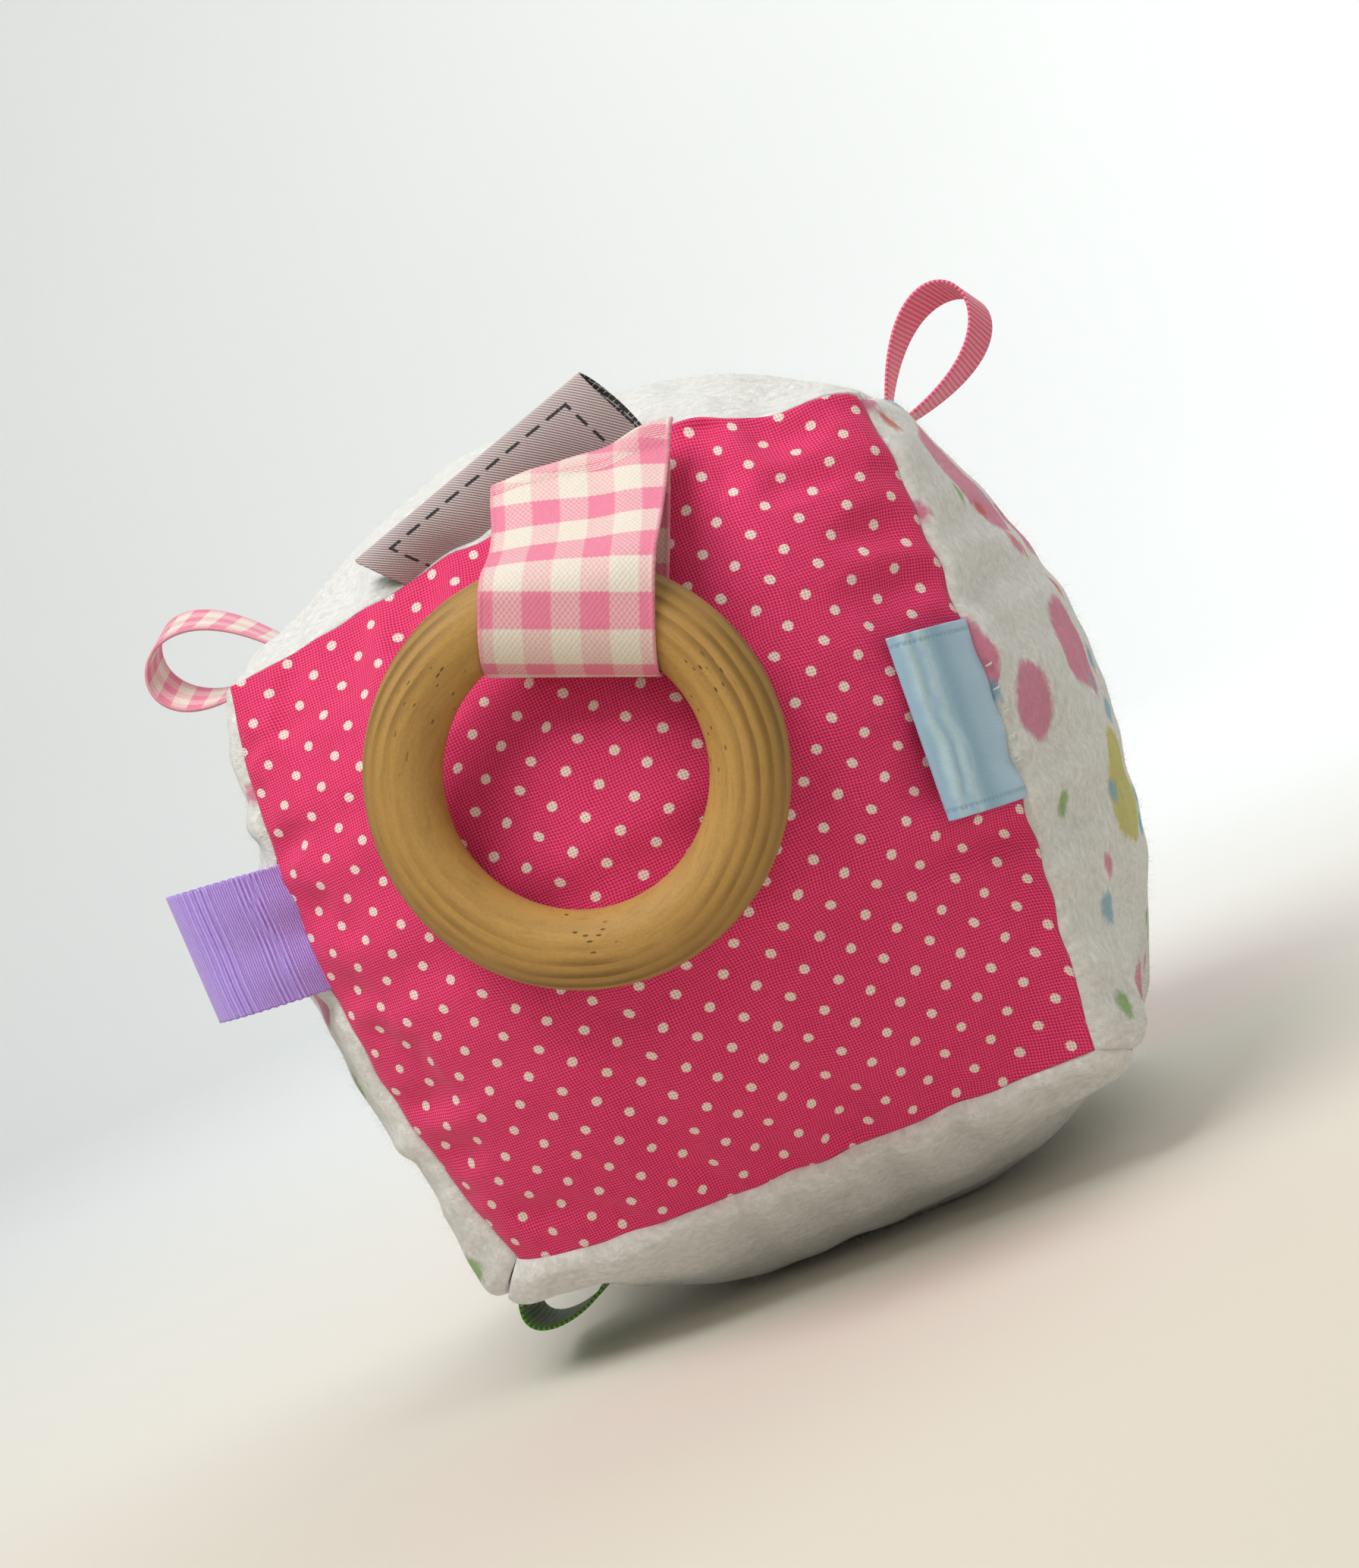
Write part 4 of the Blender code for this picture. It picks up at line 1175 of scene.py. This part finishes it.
class BlockSettings(bpy.types.PropertyGroup):
    """All settings of the fabric block."""
    covers: bpy.props.PointerProperty(type=CoverSettings, name="Covers", description="The sewn covers")
    ring: bpy.props.PointerProperty(type=RingSettings, name="Ring", description="The wooden ring")
    colours: bpy.props.PointerProperty(type=ClothColours, name="Colours", description="The cloths' colours")
    stage: bpy.props.PointerProperty(type=StageSettings, name="Stage", description="The floor and the lights")


# Pieces

class DressCovers(bpy.types.Operator):
    """Sew the six swollen covers"""
    bl_idname = "fabric_block.covers"
    bl_label = "Covers"

    def execute(self, context):
        settings = context.scene.fabric_block
        finishes = {
            "dotted_cotton": dotted_cotton(settings.covers, settings.colours),
            "plain_flannel": plain_flannel(settings.colours),
            "printed_flannel": printed_flannel(settings.colours),
        }
        slots = {"front": "dotted_cotton", "back": "dotted_cotton", "left": "printed_flannel",
                 "right": "printed_flannel", "bottom": "plain_flannel", "top": "plain_flannel"}
        swell = swollen(settings.covers)
        drawn_in = 1 - COVER_THICKNESS / HALF_SIZE.min()
        for seed, (name, slot) in enumerate(slots.items(), start=40):
            turned = not faces_outward(name)
            outer, cloth = dressed_cover(name, settings.covers, swell[name])
            inner = (outer - BLOCK_MIDDLE) * drawn_in + BLOCK_MIDDLE
            fibres = None
            if slot != "dotted_cotton" and settings.covers.fibre_count:
                fibres = nap_fibres(outer, cloth, turned, settings.covers, seed)
            cover = shell_piece(f"{name}_cover", outer, inner, cloth, finishes[slot], turned, fibres)
            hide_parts(f"{name}_panel")
            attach(cover, "block")
        return {"FINISHED"}


class Stuff(bpy.types.Operator):
    """Fill the covers with stuffing"""
    bl_idname = "fabric_block.stuffing"
    bl_label = "Stuffing"

    def execute(self, context):
        points, faces, _ = closed_body(2 * SWELL_CELLS, 1 - STUFFING_DEPTH / HALF_SIZE.min())
        stuffing = add_piece("stuffing", points + BLOCK_MIDDLE, faces, stuffing_fibre())
        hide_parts("polyester_fill")
        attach(stuffing, "block")
        return {"FINISHED"}


def ring_middle():
    """Middle of the ring in the row's frame."""
    low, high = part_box("wooden_ring")
    return np.array((low + high) / 2)


class TurnRing(bpy.types.Operator):
    """Turn the wooden ring"""
    bl_idname = "fabric_block.ring"
    bl_label = "Wooden ring"

    def execute(self, context):
        steps, sides = 256, 64
        turn = np.linspace(0, 2 * math.pi, steps, endpoint=False)[:, None]
        round_section = np.linspace(0, 2 * math.pi, sides, endpoint=False)[None]
        radius = RING_CORE_RADIUS + RING_SECTION_WIDTH / 2 * np.cos(round_section)
        middle = ring_middle()
        points = middle + np.stack((
            radius * np.cos(turn), RING_THICKNESS / 2 * np.sin(round_section) * np.ones_like(turn),
            radius * np.sin(turn)), axis=-1)
        faces = grid_faces(steps, sides, close_rows=True, close_columns=True, turned=True)
        ring = add_piece(
            "turned_ring", points.reshape(-1, 3), faces, turned_wood(context.scene.fabric_block.ring, middle))
        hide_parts("wooden_ring")
        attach(ring, "ring")
        return {"FINISHED"}


def taut_section(root_spot, fold_spot, held, behind):
    """Section of a ribbon drawn tight from its root round the spots it holds, and in front of what is behind.

    All are in one plane, as heights and depths: the convex hull of the spots, no deeper than the surface
    behind, resampled by its length.
    """
    chord = fold_spot - root_spot
    across = np.array((-chord[1], chord[0])) / np.linalg.norm(chord)
    roots = [root_spot + ROOT_SPREAD / 2 * across, root_spot - ROOT_SPREAD / 2 * across]
    spots = np.array([*roots, *held])
    order = geometry.convex_hull_2d([Vector(spot) for spot in spots])
    order = order[order.index(0):] + order[:order.index(0)]
    if order[1] == 1:
        order = order[:1] + order[:0:-1]
    run = np.append(0, np.cumsum(np.linalg.norm(np.diff(spots[order], axis=0), axis=1)))
    heights, depths = (np.interp(np.linspace(0, run[-1], 400), run, row) for row in spots[order].T)
    path = np.stack((heights, np.minimum(depths, np.interp(heights, *behind))), axis=1)
    run = np.append(0, np.cumsum(np.linalg.norm(np.diff(path, axis=0), axis=1)))
    reaches = (path - root_spot) @ chord / (chord @ chord)
    offs = (path - root_spot) @ across

    def section(u):
        return np.interp(u * run[-1], run, reaches), np.interp(u * run[-1], run, offs)

    return section


def held_spots(half_width):
    """Heights and depths, from the ring's middle, of the spots that the ribbon is drawn round.

    They are the ring's section, wider by the ribbon's clearance, at the ribbon's middle and at its edge,
    where a radius r stands sqrt(r^2 - half_width^2) high.
    """
    clearance = RIBBON_THICKNESS / 2 + RING_RIBBON_CLEARANCE
    turn = np.linspace(0, 2 * math.pi, 64)
    radii = RING_CORE_RADIUS + (RING_SECTION_WIDTH / 2 + clearance) * np.cos(turn)
    depths = (RING_THICKNESS / 2 + clearance) * np.sin(turn)
    return [(math.sqrt(radius ** 2 - aside ** 2), depth)
            for aside in (0, half_width) for radius, depth in zip(radii, depths)]


def room_behind(middle, up, sideways, half_width):
    """How deep the ribbon may lie at heights from the ring's middle, before the front cover's nearest point."""
    shares = np.linspace(0, 1, 121)
    face = cover_points("front", *np.meshgrid(shares, shares)).reshape(-1, 3) - middle
    face = face[abs(face @ sideways) < half_width]
    heights, step = np.linspace(0, (face @ up).max(), 25, retstep=True)
    near = abs((face @ up)[:, None] - heights) < step
    nearest = np.where(near, face[:, 1:2], np.inf).min(axis=0)
    return heights, nearest - RIBBON_THICKNESS / 2 - COVER_ROOM


RING_SEAM = (0, (0, -1, 1))
RING_RIBBON_SHARE = 0.625
RING_RIBBON_GRID = (220, 64)
# How far the ribbon's back layer keeps off the front cover
COVER_ROOM = 0.0006
# How high the ribbon stands up behind its root, at its left and at its right, and how far along it
SHOULDER_HEIGHTS = (0.0056, 0.0012)
SHOULDER_REACH = 0.17
SHOULDER_WAY = unit((-0.06, -0.22, 1))


class HangRingRibbon(bpy.types.Operator):
    """Fold the gingham ribbon round the ring"""
    bl_idname = "fabric_block.ring_ribbon"
    bl_label = "Ring ribbon"

    def execute(self, context):
        shift = -0.0004 * unit((0, -1, 1))
        middle = ring_middle() - BLOCK_MIDDLE
        towards_seam = seam_points(*RING_SEAM, RING_RIBBON_SHARE) + shift - middle
        up = unit((towards_seam[0], 0, towards_seam[2]))
        sideways = np.array((up[2], 0, -up[0]))
        seam_ends = seam_points(*RING_SEAM, (0.0, 1.0))
        askew = np.dot(unit(seam_ends[1] - seam_ends[0]), sideways)
        sewn = seam_root(*RING_SEAM, RING_RIBBON_SHARE, RING_RIBBON_WIDTH / askew, shift)

        def root(v):
            return drawn(sewn(v))

        half_width = RING_RIBBON_WIDTH / 2
        held = held_spots(half_width)
        behind = room_behind(middle, up, sideways, half_width)
        root_spot = np.array((np.dot(towards_seam, up), towards_seam[1]))
        fold_spot = np.array(min(held))
        chord = fold_spot - root_spot
        across = unit((-chord[1] * up) + np.array((0, chord[0], 0)))
        fold_middle = middle + fold_spot[0] * up + np.array((0, fold_spot[1], 0))
        fold = straight(fold_middle - half_width * sideways, fold_middle + half_width * sideways)
        section = taut_section(root_spot, fold_spot, held, behind)
        rows, columns = RING_RIBBON_GRID
        points, cloth = ribbon_sheet(root, fold, across, section, rows, columns)
        # It stands up behind its root in a shoulder, ((r/p) e^(1 - r/p))^2, highest at its reach p
        share = section(np.linspace(0, 1, rows))[0][:, None] / SHOULDER_REACH
        hump = (np.maximum(share, 0) * np.exp(1 - share)) ** 2
        height = np.linspace(*SHOULDER_HEIGHTS, columns)
        points = points + (height * hump)[..., None] * SHOULDER_WAY
        finish = gingham("gingham ribbon", 3.77, 1.97, 4.7, 3.6, context.scene.fabric_block.colours)
        ribbon = ribbon_piece("gingham_hanger", points, cloth, finish)
        hang(ribbon, root, fold, "ring_ribbon")
        length = run_lengths(points, 0)[-1].mean() * MM
        return {"FINISHED"}


class SewLabel(bpy.types.Operator):
    """Sew the woven label into the top front seam"""
    bl_idname = "fabric_block.label"
    bl_label = "Woven label"

    def execute(self, context):
        # Its share of the seam, how far its fold is skewed and slid, and how far back its ends are sewn
        share, skew, slide, setbacks = 0.505, 0.0030, 0.0053, (0.0004, 0.0028)
        shift = -0.0002 * unit((0, -1, 1))
        rows, columns = 90, 140

        def root(v):
            across_share = share + (np.asarray(v) - 0.5) * LABEL_LENGTH / BLOCK_SIZE[0]
            return cover_points("top", across_share, np.interp(v, (0, 1), setbacks) / BLOCK_SIZE[1]) + shift

        ends = root(np.array((0.0, 1.0)))
        rises = LABEL_HEIGHT + FOLD_EASE + skew * np.array(((-1,), (1,)))
        fold = straight(*(ends + rises * (0, 0, 1) - np.array((slide, 0, 0))))
        across = unit(np.cross(ends[1] - ends[0], (0, 0, 1)))
        points, cloth = ribbon_sheet(root, fold, across, drop_section(0.0030), rows, columns)
        # Its back layer bows out beyond its right end, most where the layer is half way and by v^5 along it
        u, v = np.meshgrid(np.linspace(0, 1, rows), np.linspace(0, 1, columns), indexing="ij")
        bow = np.clip(-np.sin(2 * math.pi * u), 0, 1) * v ** 5
        points = points + bow[..., None] * np.array((0.0009, 0.0005, 0.0002))
        label = ribbon_piece("twill_label", points, cloth, label_back(context.scene.fabric_block.colours))
        label.data.materials.append(label_twill(context.scene.fabric_block.colours))
        label.modifiers[0].material_offset = 1
        hang(label, root, fold, "woven_label")
        length = float(run_lengths(points, 0)[-1].mean() * MM)
        return {"FINISHED"}


class SewPurpleTab(bpy.types.Operator):
    """Sew the ribbed purple tab into the left front seam"""
    bl_idname = "fabric_block.purple_tab"
    bl_label = "Purple tab"

    def execute(self, context):
        colours = context.scene.fabric_block.colours
        width, length, opening = 0.0190, 0.0150, 0.0066
        root, fold, across = loop_frame(
            (2, (-1, -1, 0)), 0.610, (width, length), (-1, -0.15, 0.10), -0.0004)
        points, cloth = ribbon_sheet(root, fold, across, drop_section(opening), 300, 60)
        run = cloth[:, :1, 0]
        # Wide ribs in the middle of each layer, and narrow ones near its root: their spacing, height, middle
        # and half length, in millimetres
        wide_spacing = 1.15
        ribs = 0
        for spacing, height, place, spread in ((wide_spacing, 0.17, 6.0, 1.9), (0.78, 0.119, 13.2, 1.7)):
            fade = np.clip(1.5 - abs(abs(run) - place) / spread, 0, 1)
            ribs = ribs + height * MM * np.sin(2 * math.pi * abs(run) / spacing) * fade
        points = points + ribs[..., None] * grid_normals(points)
        middle = points.mean(axis=1, keepdims=True)
        widening = 0.008 * np.cos(2 * math.pi * run / wide_spacing)
        points = middle + (points - middle) * (1 + widening)[..., None]
        finish = grosgrain("purple grosgrain", colours.purple, colours.purple_shade, 0.34)
        tab = ribbon_piece("ribbed_purple_tab", points, cloth, finish)
        hang(tab, root, fold, "purple_tab")
        return {"FINISHED"}


class SewBlueTab(bpy.types.Operator):
    """Sew the blue satin tab into the right front seam"""
    bl_idname = "fabric_block.blue_tab"
    bl_label = "Blue satin tab"

    def execute(self, context):
        width, length, opening = 0.0255, 0.0134, 0.0012
        root, fold, across = loop_frame(
            (2, (1, -1, 0)), 0.518, (width, length), (-0.66, -0.74, 0.10), 0.0)
        points, cloth = ribbon_sheet(root, fold, across, drop_section(opening, camber=0.0011), 140, 120)
        run, side = cloth[..., 0], cloth[..., 1]
        # Two ridges beside the fold, at 1.9 and 4.3 mm from it, that sway along it
        sway = 0.7 * unevenness(3, side[..., None], 9, 20)
        ridge = np.exp(-((abs(run) - 1.9 + 0.8 * sway) / 0.8) ** 2)
        ridge += 0.85 * np.exp(-((abs(run) - 4.3 + sway) / 0.9) ** 2)
        points = points + 0.40 * MM * ridge[..., None] * across
        tab = ribbon_piece("satin_blue_tab", points, cloth, blue_satin(context.scene.fabric_block.colours))
        hang(tab, root, fold, "blue_satin_tab")
        return {"FINISHED"}


class SewLoops(bpy.types.Operator):
    """Sew the pink, narrow gingham and green loops into their seams"""
    bl_idname = "fabric_block.loops"
    bl_label = "Narrow loops"

    def execute(self, context):
        colours = context.scene.fabric_block.colours
        pink = grosgrain("pink grosgrain", colours.pink, colours.pink_shade, 0.8)
        narrow = gingham("narrow gingham", 1.6, 1.6, 2.6, 1.3, colours)
        green = grosgrain("green grosgrain", colours.green, colours.green_shade, 0.8)
        # Its finish, body, node and slot; then its seam, its share of it, its width and length, its opening,
        # the way that it points and how far it is twisted
        loops = (
            ("pink_grosgrain_loop", pink, "pink_ribbon", "pink_loop", "pink_grosgrain",
             (1, (1, 0, 1)), 0.82, (0.0070, 0.0238), 0.0114, (0.775, 0, 0.635), 40),
            ("narrow_gingham_loop", narrow, "gingham_ribbon", "gingham_loop", "gingham",
             (1, (-1, 0, 1)), 0.41, (0.0080, 0.0218), 0.0120, (-0.95, 0, 0.31), 30),
            ("green_grosgrain_loop", green, "green_ribbon", "green_loop", "green_grosgrain",
             (1, (-1, 0, -1)), 0.22, (0.0190, 0.0104), 0.0145, (0.34, 0, -1), 0),
        )
        for name, finish, body, node, slot, seam, share, sizes, opening, out_shares, twist in loops:
            root, fold, across = loop_frame(seam, share, sizes, out_shares, -0.0004, twist)
            points, cloth = ribbon_sheet(root, fold, across, drop_section(opening), 160, 24)
            loop = ribbon_piece(name, points, cloth, finish)
            hang(loop, root, fold, node)
        return {"FINISHED"}


class SewStitches(bpy.types.Operator):
    """Close the stuffing opening with small hand stitches"""
    bl_idname = "fabric_block.stitches"
    bl_label = "Closing stitches"

    def execute(self, context):
        count, spacing, length, radius = 5, 0.0034, 0.0018, 0.00015
        middle_share, slant_share, lift, arch_height = 0.511, 0.004, 0.0008, 0.0006
        rows, sides = 12, 8
        run = np.linspace(0.1, 0.9, rows)
        arch = np.sin(math.pi * np.linspace(0, 1, rows))[:, None]
        faces = grid_faces(rows, sides, close_columns=True, turned=True)
        threads = []
        for index in range(count):
            up_share = middle_share + (index - (count - 1) / 2) * spacing / BLOCK_SIZE[2]
            path = cover_points("right", run * length / BLOCK_SIZE[1], up_share + slant_share * (run - 1))
            path = path + (lift + arch_height * arch) * unit((1, -0.8, 0)) + BLOCK_MIDDLE
            threads.append(tube(path, radius, sides).reshape(-1, 3))
        faces = np.concatenate([faces + index * rows * sides for index in range(count)])
        stitches = add_piece("closing_stitches", np.concatenate(threads), faces, thread_finish())
        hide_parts(*(f"closing_stitch_{index + 1}" for index in range(count)))
        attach(stitches, "block")
        return {"FINISHED"}


class SetStage(bpy.types.Operator):
    """Set the floor, the lights and the camera"""
    bl_idname = "fabric_block.stage"
    bl_label = "Stage"

    def execute(self, context):
        settings = context.scene.fabric_block.stage
        self.floor(settings)
        self.lights(context, settings)
        self.camera(context)
        return {"FINISHED"}

    def floor(self, settings):
        """A round floor that sweeps up into a wall: a profile of a flat, a quarter circle and an upright."""
        flat, bend, wall, drop = 1.1, 0.5, 0.8, 0.0002
        arc = np.linspace(0, math.pi / 2, 24)
        radii = np.concatenate((np.linspace(0.001, flat, 20), flat + bend * np.sin(arc)[1:], [flat + bend]))
        heights = np.concatenate((np.zeros(20), bend * (1 - np.cos(arc))[1:], [bend + wall]))
        turn = np.linspace(0, 2 * math.pi, 96, endpoint=False)[:, None]
        points = np.stack((radii * np.cos(turn), radii * np.sin(turn), heights + 0 * turn), axis=-1)
        points[..., 2] -= drop
        faces = grid_faces(96, len(radii), close_rows=True, turned=True)
        finish = floor_finish(settings.floor_near_shade, settings.floor_far_lit)
        floor = add_piece("floor_sweep", points.reshape(-1, 3), faces, finish)

    def lights(self, context, settings):
        """White surroundings and three soft square lamps: their place, their target, their side and power."""
        world = bpy.data.worlds.new("white surroundings")
        world.use_nodes = True
        sky = world.node_tree.nodes["Background"]
        sky.inputs["Color"].default_value = (1.0, 0.995, 0.985, 1)
        sky.inputs["Strength"].default_value = settings.sky_strength
        context.scene.world = world
        lamps = (
            ("key_light", (-0.14, -0.31, 0.57), (0, 0, 0.06), 0.34, settings.key_power),
            ("fill_light", (0.30, -0.85, 0.25), (0, 0, 0.06), 0.8, settings.fill_power),
            ("back_light", (0.55, 0.55, 1.05), (0.55, 1.4, 0.25), 0.9, settings.back_power),
        )
        context.scene.view_settings.view_transform = "Standard"
        for name, place, target, size, power in lamps:
            lamp = bpy.data.lights.new(name, "AREA")
            lamp.size = size
            lamp.energy = power
            item = bpy.data.objects.new(name, lamp)
            item.location = place
            item.rotation_euler = (Vector(target) - Vector(place)).to_track_quat("-Z", "Y").to_euler()
            context.scene.collection.objects.link(item)

    def camera(self, context):
        """The camera that took the picture, whose axes are made square to each other."""
        lens = bpy.data.cameras.new("photo_camera")
        lens.lens = CAMERA_LENS
        lens.sensor_width = 36
        lens.clip_start = 0.01
        camera = bpy.data.objects.new("photo_camera", lens)
        forward = unit(CAMERA_FORWARD)
        right = unit(CAMERA_RIGHT - np.dot(CAMERA_RIGHT, forward) * forward)
        axes = np.stack((right, np.cross(right, forward), -forward), axis=1)
        camera.matrix_world = Matrix.Translation(CAMERA_PLACE) @ Matrix(axes.tolist()).to_4x4()
        context.scene.collection.objects.link(camera)
        context.scene.camera = camera


STEPS = (
    DressCovers, Stuff, TurnRing, HangRingRibbon, SewLabel, SewPurpleTab, SewBlueTab, SewLoops, SewStitches,
    SetStage)


class FabricBlockPanel(bpy.types.Panel):
    """Lists the fabric block's settings and pieces"""
    bl_idname = "VIEW3D_PT_fabric_block"
    bl_label = "Fabric block"
    bl_space_type = "VIEW_3D"
    bl_region_type = "UI"
    bl_category = "Fabric block"

    def draw(self, context):
        settings = context.scene.fabric_block
        for group in (settings.covers, settings.ring, settings.colours, settings.stage):
            box = self.layout.box()
            for setting in group.bl_rna.properties:
                if not setting.is_readonly and setting.identifier != "name":
                    box.prop(group, setting.identifier)
        for step in STEPS:
            self.layout.operator(step.bl_idname)


CLASSES = (CoverSettings, RingSettings, ClothColours, StageSettings, BlockSettings, *STEPS, FabricBlockPanel)


def register():
    for one in CLASSES:
        bpy.utils.register_class(one)
    bpy.types.Scene.fabric_block = bpy.props.PointerProperty(
        type=BlockSettings, name="Fabric block", description="Settings of the fabric block")


def unregister():
    del bpy.types.Scene.fabric_block
    for one in reversed(CLASSES):
        bpy.utils.unregister_class(one)


def main():
    """Registers the add-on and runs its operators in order."""
    register()
    for step in STEPS:
        group, name = step.bl_idname.split(".")
        getattr(getattr(bpy.ops, group), name)()


if __name__ == "__main__":
    main()
